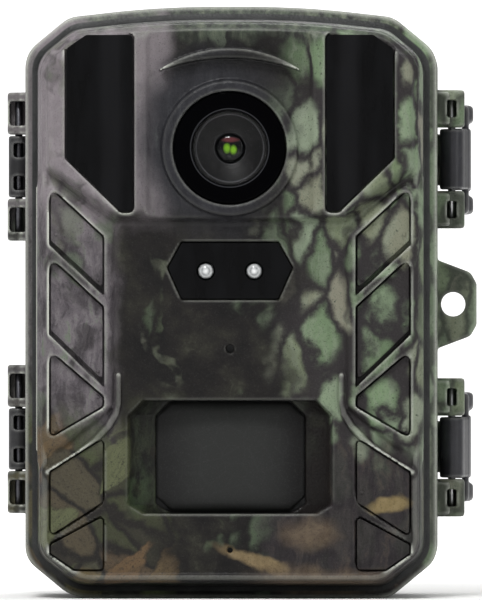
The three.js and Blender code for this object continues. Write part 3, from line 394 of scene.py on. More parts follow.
class Paint:
    """One procedural material; its coordinates are the case's own, in millimetres."""

    def __init__(self, name):
        self.material = bpy.data.materials.new(name)
        self.material.use_nodes = True
        self.tree = self.material.node_tree
        self.tree.nodes.clear()
        self.output = self.tree.nodes.new("ShaderNodeOutputMaterial")
        coords = self.node("ShaderNodeTexCoord")
        scaled = self.vector("SCALE", coords.outputs["Object"], scale=1000)
        self.place = self.vector("SUBTRACT", scaled, tuple(float(v) for v in ORIGIN))
        self.x, self.y, self.z = self.parts(self.place)

    def node(self, kind, inputs=None, **settings):
        made = self.tree.nodes.new(kind)
        for key, value in settings.items():
            setattr(made, key, value)
        for key, value in (inputs or {}).items():
            if isinstance(value, bpy.types.NodeSocket):
                self.tree.links.new(value, made.inputs[key])
            elif value is not None:
                made.inputs[key].default_value = value
        return made

    def math(self, operation, a, b=None):
        return self.node("ShaderNodeMath", {0: a, 1: b}, operation=operation).outputs[0]

    def plus(self, a, b):
        return self.math("ADD", a, b)

    def minus(self, a, b):
        return self.math("SUBTRACT", a, b)

    def times(self, first, *others):
        for other in others:
            first = self.math("MULTIPLY", first, other)
        return first

    def size(self, a):
        return self.math("ABSOLUTE", a)

    def length(self, a, b):
        return self.math("SQRT", self.plus(self.times(a, a), self.times(b, b)))

    def vary(self, base, noise, amount):
        """A base value, raised by a share of the noise."""
        return self.plus(base, self.times(noise, amount))

    def vector(self, operation, a, b=None, scale=None):
        inputs = {0: a, 1: b, "Scale": scale}
        return self.node("ShaderNodeVectorMath", inputs, operation=operation).outputs["Vector"]

    def parts(self, vector):
        return self.node("ShaderNodeSeparateXYZ", {0: vector}).outputs

    def stretch(self, vector, x, y, z):
        return self.vector("MULTIPLY", vector, (x, y, z))

    def turn(self, vector, degrees):
        """Turned about Y, so that a pattern leans on the front face."""
        settings = {"Vector": vector, "Angle": math.radians(degrees)}
        return self.node("ShaderNodeVectorRotate", settings, rotation_type="Y_AXIS").outputs[0]

    def noise(self, vector, scale, detail=3.0, rough=0.55, colour=False):
        settings = {"Vector": vector, "Scale": scale, "Detail": detail, "Roughness": rough}
        return self.node("ShaderNodeTexNoise", settings).outputs["Color" if colour else "Fac"]

    def cloud(self, scale, detail=3.0, rough=0.55, colour=False):
        """Noise over the case, the same size each way."""
        return self.noise(self.place, scale, detail, rough, colour)

    def cells(self, vector, scale, feature="F1", output="Distance"):
        made = self.node("ShaderNodeTexVoronoi", {"Vector": vector, "Scale": scale}, feature=feature)
        return made.outputs[output]

    def pick(self, vector, channel):
        """A random value for each cell."""
        colour = self.cells(vector, 1.0, "F1", "Color")
        return self.node("ShaderNodeSeparateColor", {0: colour}).outputs[channel]

    def smooth(self, value, low, high):
        """0 at low, rising to 1 at high."""
        ends = {0: value, 1: low, 2: high, 3: 0.0, 4: 1.0}
        return self.node("ShaderNodeMapRange", ends, interpolation_type="SMOOTHSTEP").outputs[0]

    def fade(self, value, low, high):
        """1 at low, falling to 0 at high."""
        return self.minus(1.0, self.smooth(value, low, high))

    def line(self, value, middle, low, high):
        """1 where the value is at the middle, falling to 0 on both sides."""
        return self.fade(self.size(self.minus(value, middle)), low, high)

    def oval(self, place, x, z, across, up, soft=0.35):
        """1 inside a soft oval round (x, z), falling to 0 outside it."""
        here = self.parts(place)
        dx = self.math("DIVIDE", self.minus(here[0], x), across)
        dz = self.math("DIVIDE", self.minus(here[2], z), up)
        return self.fade(self.length(dx, dz), 1 - soft, 1 + soft)

    def ramp(self, value, *stops):
        """Colours by value, from (value, red, green, blue) stops."""
        made = self.node("ShaderNodeValToRGB", {0: value})
        points = made.color_ramp.elements
        while len(points) < len(stops):
            points.new(0.5)
        for point, (at, *colour) in zip(points, stops):
            point.position = at
            point.color = tone(*colour)
        return made.outputs["Color"]

    def mix(self, share, a, b):
        return self.node("ShaderNodeMix", {0: share, 6: a, 7: b}, data_type="RGBA").outputs[2]

    def coat(self, under, over, mask, share):
        """One colour over another, as strong as the share where the mask is 1."""
        return self.mix(self.times(mask, share), under, over)

    def attribute(self, name):
        return self.node("ShaderNodeAttribute", attribute_name=name).outputs["Fac"]

    def edges(self, low=0.56, high=0.8):
        """High along rounded outer edges, for wear and for painted highlights."""
        return self.smooth(self.attribute("bend"), low, high)

    def hollows(self):
        """High in inner corners, where painted shade goes."""
        bend = self.attribute("bend")
        return self.times(self.smooth(bend, 0.44, 0.2), self.smooth(bend, 0.0, 0.02))

    def finish(self, colour, rough, shine, *bumps, **others):
        """The shader; each bump is (height, depth in mm, strength)."""
        normal = None
        for height, depth, strength in bumps:
            normal = self.node("ShaderNodeBump", {
                "Height": height, "Distance": depth / 1000, "Strength": strength, "Normal": normal,
            }).outputs[0]
        inputs = {"Base Color": colour, "Roughness": rough, "Specular IOR Level": shine, "Normal": normal}
        inputs.update({name.replace("_", " "): value for name, value in others.items()})
        shader = self.node("ShaderNodeBsdfPrincipled", inputs)
        self.tree.links.new(shader.outputs[0], self.output.inputs[0])
        return self.material


def camo_material():
    """A generic woodland print: grey bark at the left, green at the right, dark between."""
    p = Paint("camo_print")
    drift = p.vector("SUBTRACT", p.cloud(0.07, 3, 0.6, colour=True), (0.5, 0.5, 0.5))
    far = p.vector("ADD", p.place, p.vector("SCALE", drift, scale=22))
    near = p.vector("ADD", p.place, p.vector("SCALE", drift, scale=7))
    fine = p.vector("SUBTRACT", p.cloud(0.35, 3, 0.6, colour=True), (0.5, 0.5, 0.5))
    near = p.vector("ADD", near, p.vector("SCALE", fine, scale=1.5))
    streaks = p.noise(p.stretch(near, 0.9, 0.9, 0.14), 0.6, 5, 0.65)
    blotch = p.noise(near, 0.12, 4, 0.6)
    speck = p.cloud(1.3, 4, 0.7)

    # grey bark-shadow of the left
    grey = p.ramp(streaks, (0.28, 56, 52, 56), (0.44, 84, 79, 83), (0.58, 106, 101, 104), (0.74, 98, 108, 92))
    grey = p.coat(grey, tone(44, 41, 43), p.smooth(blotch, 0.5, 0.66), 0.55)
    # nearly black middle with faint lichen
    dark = p.ramp(blotch, (0.36, 16, 15, 15), (0.50, 24, 22, 21), (0.62, 36, 35, 30), (0.76, 66, 68, 56))
    # plated bark of the right: tall rounded cells with dark cracks
    plates = p.stretch(near, 0.165, 0.165, 0.092)
    crack = p.cells(plates, 1.0, "DISTANCE_TO_EDGE")
    plate = p.ramp(
        p.pick(plates, 0), (0.0, 84, 100, 76), (0.35, 108, 128, 98), (0.60, 122, 134, 114),
        (0.80, 124, 120, 108), (1.0, 96, 112, 82),
    )
    plate = p.coat(plate, tone(124, 132, 116), p.smooth(streaks, 0.42, 0.66), 0.5)
    plate = p.mix(p.smooth(speck, 0.58, 0.72), plate, tone(60, 66, 56))
    worn = p.plus(crack, p.times(p.minus(speck, 0.5), 0.14))
    lit = p.times(p.smooth(worn, 0.0, 0.19), p.fade(p.cells(plates, 1.0), 0.50, 0.80))
    bark = p.mix(lit, tone(42, 39, 40), plate)

    # leaves low on the left, leaning both ways
    def leaves(lean, by, *stops):
        tilted = p.stretch(p.turn(p.vector("ADD", near, (by, 0, by)), lean), 0.15, 0.12, 0.07)
        edge = p.cells(tilted, 1.0, "DISTANCE_TO_EDGE")
        kind = p.pick(tilted, 1)
        vein = p.noise(p.stretch(tilted, 9, 3, 1.2), 1.0, 3)
        tint = p.coat(p.ramp(kind, *stops), tone(58, 54, 46), p.smooth(vein, 0.45, 0.65), 0.35)
        body = p.smooth(edge, 0.02, 0.13)
        return p.mix(body, tone(33, 31, 29), tint), p.times(body, p.smooth(kind, 0.5, 0.58))

    low_leaves, _ = leaves(
        38, 0, (0.0, 42, 39, 36), (0.34, 58, 62, 44), (0.52, 82, 92, 58), (0.74, 78, 64, 50),
        (0.9, 66, 66, 54),
    )
    top_leaves, covered = leaves(
        -46, 17, (0.0, 44, 40, 37), (0.52, 76, 86, 56), (0.74, 92, 74, 54), (0.92, 84, 88, 64),
    )
    forest = p.mix(covered, low_leaves, top_leaves)
    forest = p.mix(p.smooth(speck, 0.55, 0.72), forest, tone(46, 44, 38))
    # brown litter low on the right, with a few tan leaves
    litter = p.ramp(streaks, (0.34, 26, 23, 25), (0.55, 42, 38, 40), (0.72, 64, 56, 50))
    tan = p.ramp(p.noise(near, 0.5, 4), (0.35, 98, 82, 64), (0.65, 124, 108, 86))

    # the kinds of print, each in its own part of the case, and a painted sheen on the upper left
    across, _, up = p.parts(far)
    aside = p.parts(near)[0]
    colour = p.mix(p.smooth(aside, -27, -22), grey, dark)
    # painted sheen: the upper left is made paler grey, as if the light falls on it there
    upper = p.times(p.smooth(up, 76, 88), p.fade(aside, -15, -11))
    colour = p.coat(colour, p.mix(0.55, grey, tone(152, 144, 148)), upper, 0.8)
    tall = p.stretch(far, 1, 1, 0.5)
    lichen = p.smooth(p.noise(tall, 0.08, 3), 0.55, 0.62)
    colour = p.coat(colour, p.mix(0.45, p.mix(lit, dark, plate), dark), lichen, 0.6)
    colour = p.mix(p.smooth(across, 7, 17), colour, bark)
    # shadowed gaps between the plates of bark
    gaps = p.times(p.smooth(p.noise(tall, 0.075, 2), 0.56, 0.66), p.smooth(across, 6, 14))
    colour = p.coat(colour, tone(42, 39, 41), gaps, 0.7)
    # upper middle, behind the lens: blue-grey shadow
    shadow = p.ramp(streaks, (0.35, 30, 30, 34), (0.6, 43, 43, 47), (0.75, 60, 62, 63))
    colour = p.mix(p.oval(near, -4, 97, 15.5, 19, 0.3), colour, shadow)
    # crown: pale upright streaks
    crown = p.ramp(streaks, (0.36, 38, 40, 38), (0.52, 70, 78, 66), (0.68, 98, 104, 88))
    colour = p.coat(colour, crown, p.smooth(up, 117, 122), 0.85)
    low = p.times(p.fade(up, 32, 46), p.fade(across, -18, -11))
    colour = p.mix(low, colour, forest)
    low = p.times(p.fade(up, 28, 36), p.smooth(across, 6, 12))
    colour = p.coat(colour, litter, low, 0.95)
    # single tan leaves low on the front
    leaf = p.oval(p.turn(near, 8), 36.0, 15.6, 4.2, 1.5, 0.35)
    colour = p.mix(leaf, colour, p.mix(0.4, tan, tone(120, 108, 58)))
    leaf = p.oval(p.turn(near, -20), 3.1, 9.1, 8.5, 1.5, 0.4)
    colour = p.mix(leaf, colour, p.mix(0.5, tan, tone(112, 98, 66)))
    colour = p.coat(colour, tan, p.oval(near, 17, 13.0, 5.0, 3.6, 0.5), 0.45)
    # painted shade on the sloping sides of the sensor recess, plainer and darker on the right
    shade = p.times(p.smooth(p.y, -35.6, -34.2), p.fade(p.y, -30.2, -29.6), p.fade(p.size(p.x), 22.5, 23.5))
    painted_recess_shade = p.mix(p.smooth(streaks, 0.42, 0.62), tone(17, 17, 15), tone(38, 43, 33))
    painted_recess_shade = p.mix(p.smooth(p.x, -4, 4), painted_recess_shade, tone(20, 17, 16))
    colour = p.coat(colour, painted_recess_shade, shade, 0.92)
    colour = p.mix(p.oval(near, 20, 3.5, 13, 2.6, 0.5), colour, p.mix(0.5, tan, litter))
    moss = p.times(p.oval(near, -19.5, 24, 2.4, 5.0, 0.6), p.smooth(blotch, 0.42, 0.56))
    colour = p.coat(colour, tone(58, 72, 50), moss, 0.6)
    # latches and flanges on the right pick up the bark
    flange = p.smooth(p.x, 39.5, 41)
    colour = p.coat(colour, bark, flange, 0.6)
    colour = p.coat(colour, tone(124, 138, 116), flange, 0.2)
    colour = p.coat(colour, tone(46, 51, 43), p.smooth(p.x, -40.4, -41.8), 0.4)

    # the print stops at the mouth of each half: inside is bare dark plastic
    bare = p.times(
        p.smooth(p.attribute("inset"), 1.3, 1.7), p.smooth(p.y, -33.9, -33.6), p.fade(p.y, 12.2, 12.5),
        p.smooth(p.plus(p.y, p.smooth(p.z, 44, 45)), -30.0, -29.8),
    )
    colour = p.mix(bare, colour, p.mix(p.smooth(blotch, 0.35, 0.65), tone(40, 41, 41), tone(54, 55, 55)))

    # painted highlights and some wear on edges, painted shade in hollows, under the hood and on downward
    # faces, and fine texture
    grain = p.cells(p.place, 1.5)
    pores = p.cloud(3.4, 4, 0.7)
    outside_recess_shade = p.minus(1.0, shade)
    # painted highlight, with some wear, along rounded outer edges, but not in the shaded recess
    edge = p.times(p.edges(), outside_recess_shade)
    colour = p.coat(colour, tone(186, 188, 180), edge, 0.42)
    colour = p.coat(colour, tone(220, 224, 212), p.times(p.edges(0.68, 0.86), outside_recess_shade), 0.5)
    # painted shade in inner corners and creases
    colour = p.coat(colour, tone(14), p.hollows(), 0.5)
    # painted shadow just below the lens hood
    past_arc = p.minus(p.length(p.x, p.minus(p.z, HOOD_ARC_UP)), HOOD_ARC)
    painted_hood_shadow = p.times(
        p.smooth(past_arc, -2.4, -0.1), p.smooth(past_arc, 1, 0.5), p.smooth(p.size(p.x), 15, 9),
        p.smooth(p.y, -33, -35), p.smooth(p.z, 100, 108),
    )
    colour = p.coat(colour, tone(14), painted_hood_shadow, 0.6)
    colour = p.coat(colour, tone(140, 140, 135), p.smooth(pores, 0.54, 0.72), 0.06)
    # painted shade on faces that look down
    facing = p.parts(p.node("ShaderNodeNewGeometry").outputs["Normal"])[2]
    colour = p.coat(colour, tone(12), p.smooth(facing, -0.15, -0.7), 0.3)
    colour = p.coat(colour, tone(14, 13, 13), p.smooth(pores, 0.46, 0.30), 0.5)
    rough = p.vary(0.29, p.cloud(0.9, 4, 0.6), 0.2)
    rough = p.minus(rough, p.times(edge, 0.16))
    return p.finish(colour, rough, 0.18, (grain, 0.09, 0.8), (pores, 0.06, 0.8))


def plastic(name, colour, lighter, rough=0.42, shine=0.35, grain=2.2, depth=0.04, wear=0.25):
    """Moulded plastic: fine texture, slight mottling and paler edges."""
    p = Paint(name)
    cloud = p.cloud(0.22, 4, 0.6)
    grit = p.cloud(grain * 2, 3, 0.65)
    mixed = p.mix(p.smooth(cloud, 0.32, 0.7), colour, lighter)
    mixed = p.coat(mixed, lighter, p.smooth(grit, 0.5, 0.75), 0.25)
    mixed = p.coat(mixed, tone(150, 150, 148), p.edges(), wear)
    roughness = p.vary(rough - 0.08, p.cloud(0.8, 4), 0.18)
    return p.finish(mixed, roughness, shine, (p.cells(p.place, grain), depth, 0.5), (grit, depth * 0.6, 0.5))


def glossy(name, colour, bands=True, shine=0.2):
    """Polished dark window: a faint haze, fine dust, hairline scratches and, with bands, a painted reflection
    band.
    """
    p = Paint(name)
    dust = p.smooth(p.cloud(4.0, 4, 0.7), 0.60, 0.78)
    haze = p.noise(p.stretch(p.place, 0.5, 0.5, 0.12), 0.5, 3)
    tint = p.coat(colour, tone(26, 27, 29), p.smooth(haze, 0.35, 0.75), 0.3)
    # painted reflection: a paler upright band in each window
    if bands:
        ax = p.size(p.x)
        painted_reflection_band = p.line(ax, 25.0, 0.8, 3.2)
        tint = p.coat(tint, tone(34, 34, 36), painted_reflection_band, 0.3)
    tint = p.coat(tint, tone(140), dust, 0.04)
    rough = p.vary(0.05, p.cloud(0.6, 4, 0.7), 0.09)
    scratch = p.noise(p.stretch(p.place, 6, 6, 0.3), 1.5, 2)
    return p.finish(tint, rough, shine, (scratch, 0.004, 0.4))


def metal(name, colour, darker, rough=0.28):
    p = Paint(name)
    brushed = p.noise(p.stretch(p.place, 3, 3, 0.5), 2.0, 4, 0.6)
    stain = p.smooth(p.cloud(0.5, 4, 0.65), 0.45, 0.75)
    mixed = p.coat(colour, darker, stain, 0.45)
    roughness = p.vary(rough - 0.06, brushed, 0.22)
    return p.finish(mixed, roughness, None, (brushed, 0.02, 0.5), Metallic=1.0)


def rubber(name, colour, lighter):
    p = Paint(name)
    bloom = p.cloud(0.5, 4, 0.6)
    mixed = p.mix(p.smooth(bloom, 0.35, 0.7), colour, lighter)
    grit = p.cloud(6.0, 3, 0.6)
    mixed = p.coat(mixed, tone(120, 120, 118), p.edges(), 0.25)
    rough = p.vary(0.62, bloom, 0.2)
    return p.finish(mixed, rough, 0.3, (grit, 0.03, 0.6))


def lens_cover_material():
    """The round cover: a black printed border, clear over the lens barrel."""
    p = Paint("lens_cover_glass")
    dz = p.minus(p.z, LENS_UP)
    around = p.length(p.x, dz)
    border = p.smooth(around, 8.0, 8.12)
    dust = p.smooth(p.cloud(4.5, 4, 0.7), 0.62, 0.8)
    colour = p.coat(tone(3, 3, 4), tone(90), dust, 0.03)
    ring = p.line(around, 8.25, 0.06, 0.2)
    colour = p.coat(colour, tone(62, 63, 66), ring, 0.5)
    alpha = p.vary(0.16, border, 0.84)
    rough = p.vary(0.04, p.cloud(0.6, 3), 0.05)
    scratch = p.noise(p.stretch(p.place, 5, 5, 0.4), 1.5, 2)
    return p.finish(colour, rough, 0.015, (scratch, 0.003, 0.4), Alpha=alpha)


def barrel_material():
    """Black anodised barrel with fine turning rings."""
    p = Paint("lens_barrel_black")
    dz = p.minus(p.z, LENS_UP)
    around = p.length(p.x, dz)
    rings = p.math("SINE", p.times(around, 14.0))
    colour = p.mix(p.smooth(p.cloud(0.7, 4), 0.35, 0.7), tone(24, 24, 25), tone(34, 34, 35))
    for radius, strength in ((7.1, 0.7), (3.3, 0.5)):
        line = p.line(around, radius, 0.08, 0.2)
        colour = p.coat(colour, tone(104, 105, 108), line, strength)
    rough = p.vary(0.42, p.cloud(1.2, 3), 0.14)
    return p.finish(colour, rough, 0.4, (rings, 0.01, 0.4))


def coated_lens_material():
    """Dark glass with a green and magenta coating, whose reflections are painted as soft lobes."""
    p = Paint("coated_lens")
    # painted reflections: two green lobes at the centre and a magenta one above
    green = p.oval(p.place, -0.62, LENS_UP - 0.05, 0.62, 0.85, 0.6)
    green = p.math("MAXIMUM", green, p.oval(p.place, 0.72, LENS_UP - 0.35, 0.6, 0.8, 0.6))
    red = p.oval(p.place, 0.1, LENS_UP + 1.75, 1.5, 0.45, 0.6)
    cloud = p.cloud(1.2, 4)
    colour = p.coat(tone(14, 15, 17), p.mix(cloud, tone(112, 190, 36), tone(176, 236, 62)), green, 0.9)
    colour = p.coat(colour, tone(134, 70, 74), red, 0.7)
    rough = p.vary(0.03, p.cloud(0.8, 3), 0.04)
    return p.finish(colour, rough, 0.3, (cloud, 0.004, 0.3), Coat_Weight=0.2)


def lamp_material():
    """Water-clear resin lamps: a reflector seen through a domed end, its bright centre and grey rings painted
    as reflection.
    """
    p = Paint("lamp_resin_clear")
    ax = p.minus(p.size(p.x), LAMP_X)
    dz = p.minus(p.z, LAMP_UP)
    around = p.length(ax, dz)
    # painted reflection of the reflector behind the dome: a bright centre and rings of grey
    colour = p.ramp(
        p.math("DIVIDE", around, 1.9), (0.0, 236, 236, 236), (0.24, 190, 192, 192),
        (0.42, 120, 122, 124), (0.62, 178, 180, 180), (0.84, 92, 94, 96),
    )
    cloud = p.cloud(1.6, 4)
    colour = p.coat(colour, tone(226, 228, 228), p.smooth(cloud, 0.45, 0.7), 0.3)
    rough = p.vary(0.07, cloud, 0.1)
    return p.finish(colour, rough, 0.7, (cloud, 0.02, 0.4), Coat_Weight=0.5)


def sensor_lens_material():
    """Milky dark polythene with fine moulded facets behind its face, and painted shade towards its sides."""
    p = Paint("sensor_lens_film")
    # painted shade: darker towards both sides, darkest at the right edge
    side_shade = p.smooth(p.size(p.x), 5, 15.5)
    colour = p.mix(side_shade, tone(37, 38, 37), tone(24))
    right = p.smooth(p.x, 10, 15)
    colour = p.coat(colour, tone(11, 10, 10), right, 0.8)
    facets = p.cells(p.stretch(p.place, 0.25, 0.25, 0.25), 1.0, "DISTANCE_TO_EDGE")
    colour = p.coat(colour, tone(70, 72, 72), p.smooth(facets, 0.05, 0.0), 0.05)
    grit = p.cloud(3.2, 4, 0.65)
    colour = p.coat(colour, tone(76, 76, 75), p.smooth(grit, 0.5, 0.75), 0.2)
    rough = p.vary(0.46, p.cloud(0.8, 3), 0.14)
    return p.finish(colour, rough, 0.2, (grit, 0.02, 0.5))


def board_material():
    """Green circuit board with copper tracks under its varnish."""
    p = Paint("circuit_board_green")
    tracks = p.cells(p.stretch(p.place, 0.5, 0.5, 0.5), 1.0, "DISTANCE_TO_EDGE")
    colour = p.mix(p.smooth(tracks, 0.05, 0.09), tone(58, 112, 70), tone(28, 74, 46))
    dots = p.smooth(p.cells(p.place, 0.45, "F1"), 0.16, 0.12)
    colour = p.coat(colour, tone(196, 176, 112), dots, 0.8)
    rough = p.vary(0.3, p.cloud(0.8, 3), 0.15)
    return p.finish(colour, rough, 0.45, (tracks, 0.05, 0.5))


def cell_material():
    """Printed battery sleeve: two plain bands, scuffed, with a steel cap at each end."""
    p = Paint("cell_sleeve_print")
    band = p.smooth(p.z, 41.5, 42.0)
    colour = p.mix(band, tone(40, 42, 46), tone(176, 132, 66))
    line = p.line(p.z, 40.6, 0.25, 0.35)
    colour = p.mix(line, colour, tone(206, 206, 200))
    low = p.fade(p.z, 8.6, 8.9)
    cap = p.math("MAXIMUM", low, p.smooth(p.z, 57.3, 57.6))
    scuff = p.smooth(p.noise(p.stretch(p.place, 1, 1, 0.3), 1.2, 4, 0.7), 0.56, 0.72)
    colour = p.coat(colour, tone(160, 160, 156), scuff, 0.25)
    colour = p.mix(cap, colour, tone(188, 188, 190))
    rough = p.vary(0.24, scuff, 0.2)
    wave = p.cloud(0.6, 3)
    return p.finish(colour, rough, 0.5, (wave, 0.03, 0.4), Metallic=p.times(cap, 0.9))


def clear_material():
    p = Paint("clear_window")
    dust = p.smooth(p.cloud(4.0, 4, 0.7), 0.6, 0.8)
    colour = p.coat(tone(120, 132, 128), tone(190, 196, 192), dust, 0.3)
    rough = p.vary(0.05, dust, 0.15)
    return p.finish(colour, rough, 0.5, (p.cloud(0.8, 2), 0.01, 0.3), Alpha=0.35)


camo = camo_material()
gloss_black = glossy("gloss_black_window", tone(9, 9, 10), shine=0.12)
screen_glass = glossy("screen_dark", tone(24, 27, 30), bands=False, shine=0.35)
lens_cover = lens_cover_material()
barrel_black = barrel_material()
coated_lens = coated_lens_material()
lamp_resin = lamp_material()
sensor_film = sensor_lens_material()
board_green = board_material()
cell_print = cell_material()
clear_pane = clear_material()
black_plastic = plastic("black_plastic_textured", tone(27, 27, 29), tone(44, 44, 46), rough=0.4)
inner_plastic = plastic("inner_plastic_dark", tone(54, 56, 56), tone(70, 72, 71), rough=0.5)
latch_plastic = plastic(
    "latch_plastic_grey", tone(25, 25, 30), tone(40, 40, 46), rough=0.3, shine=0.45, wear=0.3,
)
key_rubber = rubber("key_rubber_grey", tone(92, 95, 96), tone(112, 115, 116))
seal_rubber = rubber("seal_rubber_black", tone(26, 26, 27), tone(44, 44, 45))
steel = metal("steel_plated", tone(196, 197, 198), tone(120, 120, 122))
# painted shade: a darker copy of the steel for the hinge pins, which sit in the shade of their windows
shaded_pin_steel = metal("steel_pins_shaded", tone(84, 84, 88), tone(40, 40, 44), rough=0.32)
brass = metal("brass_turned", tone(206, 170, 96), tone(140, 106, 56))


# ------------------------------------------------------------------ front housing


def tab_field(x, y, z, low, high):
    outline = convex(x, z, [
        (HALF - 2, TAB_UP - 10.2), (HALF + 7, TAB_UP - 6.8), (HALF + 8.3, TAB_UP - 4.4),
        (HALF + 8.3, TAB_UP + 4.4), (HALF + 7, TAB_UP + 6.8), (HALF - 2, TAB_UP + 10.2),
    ], [0.3, 2, 1.2, 1.2, 2, 0.3])
    plate = smax(outline, slab(y, low, high), 0.7)
    hole = np.hypot(x - HALF - 3.3, z - TAB_UP) - 2.6
    return smax(plate, -hole, 0.5)


def wall_inset(y):
    """How far the side wall stands in: a rounded shoulder, then nearly upright to the panel."""
    share = np.clip((-26.2 - y) / 2.0, 0, 1)
    return 2.6 * share * share * (3 - 2 * share) + 0.9 * np.clip((-28 - y) / 8, 0, 1.2)


def front_field(x, y, z):
    ax = np.abs(x)
    outline = case_distance(x, z)
    stand = wall_inset(y)
    body = smax(outline + stand, FRONT - y, 1.6)
    # a fine bead where the side wall meets the panel
    bead = np.hypot(outline + 4.6, y - FRONT - 0.15) - 0.75
    body = smin(body, bead, 0.25)
    seam = np.hypot(outline + 0.15, (y + 13.0) * 0.9) - 0.55
    body = smax(body, -seam, 0.3)

    # raised block for the lamp windows and the lens
    rise = y - BLOCK_FRONT
    side = outline + 5.6 - 0.4 * rise
    foot_line = np.maximum(0, 0.82 * (ax - 24.3)) * 0.9
    foot = 81.5 + foot_line - z - 0.69 * rise
    raised = smax(smax(side, foot, 0.9), BLOCK_FRONT - y, 1.3)
    raised = smax(raised, y + 33, 0.3)
    body = smin(body, raised, 0.7)
    lean = 0.93 * (COLUMN_FRONT - y)
    channel = smax(smax(ax - 16.5 - lean, z - 119.9 - lean, 1.2), y - COLUMN_FRONT, 0.7)
    body = smax(body, -channel, 0.6)

    # wings with a rounded lip under each lower edge
    rise = y - WING_FRONT
    wing = smax(convex(ax, z, WING, 1.0) - 0.75 * rise, WING_FRONT - y, 0.9)
    wing = smax(wing, y + 34, 0.3)
    body = smin(body, wing, 0.5)
    lip = np.hypot(route(ax, z, LIP), (y - FRONT + 0.3) * 0.9) - 0.78
    body = smin(body, lip, 0.35)

    # collar round the lens and the hood over it
    around = np.hypot(x, z - LENS_UP)
    collar = smax(around - 14.2 - 0.25 * (y + 39.2), -39.2 - y, 0.8)
    collar = smax(collar, y + 35, 0.3)
    body = smin(body, collar, 0.5)
    outer = np.hypot(x, z - 89.4) - 26.4
    inner = HOOD_ARC - np.hypot(x, z - HOOD_ARC_UP)
    hood = smax(smax(outer, inner, 0.2), smax(-40.9 - y + 0.03 * around, y + 36, 0.2), 0.5)
    body = smin(body, hood - 0.18, 0.25)

    # the hollow inside
    room = outline + 2 + stand
    room = np.where(y > -2.8, outline + 3.4, room)
    hollow = smax(room, FRONT + 2 - y, 1.2)
    body = smax(body, -hollow, 0.4)
    body = smax(body, y, 0.5)

    # lamp windows and the indicator window
    pocket = smax(convex(ax, z, shift(LAMP_WINDOW, 0.32), 0.9), y + 37.7, 0.1)
    body = smax(body, -pocket, 0.35)
    through = convex(ax, z, shift(LAMP_WINDOW, -1.1), 0.6)
    body = smax(body, -smax(through, y + 30, 0.1), 0.2)
    pocket = smax(convex(x, z, shift(INDICATOR, 0.3), 0.6), y + 34.8, 0.1)
    body = smax(body, -pocket, 0.3)

    # glass seat and the bore behind it
    body = smax(body, -smax(around - 12.0, y + 37.2, 0.1), 0.35)
    body = smax(body, -smax(around - 10.4, y + 30, 0.1), 0.2)

    # motion sensor recess with sloping sides
    depth = np.clip((y - FRONT) / 5.5, -0.4, 1)
    wide = convex(x / (1 - 0.26 * np.maximum(depth, 0) ** 1.6), z, recess_outline(21.6), 0.6)
    cup = smax(wide - 1.6, y + 28.9, 0.3)
    cup = smax(cup, FRONT + 0.5 - y, 0.3)
    body = np.where(y > -34.5, smin(body, cup, 0.3), body)
    mouth = smax(wide, y + 30.5, 0.4)
    body = smax(body, -mouth, 0.55)
    lens_hole = convex(x, z, recess_outline(15.8), 0.4)
    body = smax(body, -smax(lens_hole, y + 20, 0.1), 0.2)

    # panel pockets for the pads, and the small holes
    for number, corners in enumerate(PADS):
        pocket = shift(corners, 0.3)
        if number < 2:
            pocket = [(px, pz - 0.75) if i < 2 else (px, pz) for i, (px, pz) in enumerate(pocket)]
        pocket = smax(convex(ax, z, pocket, 0.5), y - FRONT - 0.75, 0.1)
        lift = np.where((ax > 26) & (y < -35), 0, 50)
        body = smax(body, -smax(pocket, lift - 1, 0.01), 0.2)
    body = smax(body, 0.85 - np.hypot(x, z - 52.7), 0.4)
    body = smax(body, 0.6 - np.hypot(x, z - 10.3), 0.35)
    body = smax(body, -smax(np.hypot(ax - LAMP_X, z - LAMP_UP) - 2.0, y + 30, 0.1), 0.2)
    return smin(body, tab_field(x, y, z, -2.5, -0.2), 0.5)


def knuckle_field(x, y, z):
    """The front half's hinge barrels, each with a cored window, at one hinge."""
    az = np.abs(z)
    barrel = np.hypot(x - HINGE_X, y) - 2.4
    web = smax(smax(x + HALF - 1, HINGE_X - x, 0.2), smax(y + 0.3, -5.4 - y + (x + HALF) * -0.9, 0.8), 0.8)
    body = smin(smax(barrel, y - 2.4, 0.1), web, 0.9)
    body = smax(body, slab(az, 6.85, 15.85), 0.7)
    hole = smax(np.abs(x - HINGE_X) - 1.9, np.abs(az - 11.35) - 2.6, 0.9)
    body = smax(body, -smax(hole, y - 1.0, 0.1), 0.4)
    return smax(body, PIN_BORE - np.hypot(x - HINGE_X, y), 0.15)


def latch_block_field(x, y, z):
    """The blocks that hold one latch's pin, each with a small window."""
    az = np.abs(z)
    y = y - LATCH_Y
    boxy = smax(smax(HALF - 1.4 - x, x - LATCH_X - 2.75, 0.8), np.abs(y) - 2.75, 1.5)
    boxy = smax(boxy, slab(az, 6.75, 14.75), 0.8)
    step = smax(smax(HALF - 1.4 - x, x - LATCH_X + 0.4, 0.8), smax(-6.2 - y, y - 1.5, 0.4), 0.9)
    step = smax(step, slab(az, 7.3, 14.2), 0.7)
    body = smin(boxy, step, 0.7)
    hole = smax(np.abs(x - LATCH_X) - 1.0, np.abs(az - 10.75) - 1.8, 0.5)
    body = smax(body, -smax(hole, y - 1.0, 0.1), 0.35)
    return smax(body, PIN_BORE - np.hypot(x - LATCH_X, y), 0.15)


# ------------------------------------------------------------------- rear housing


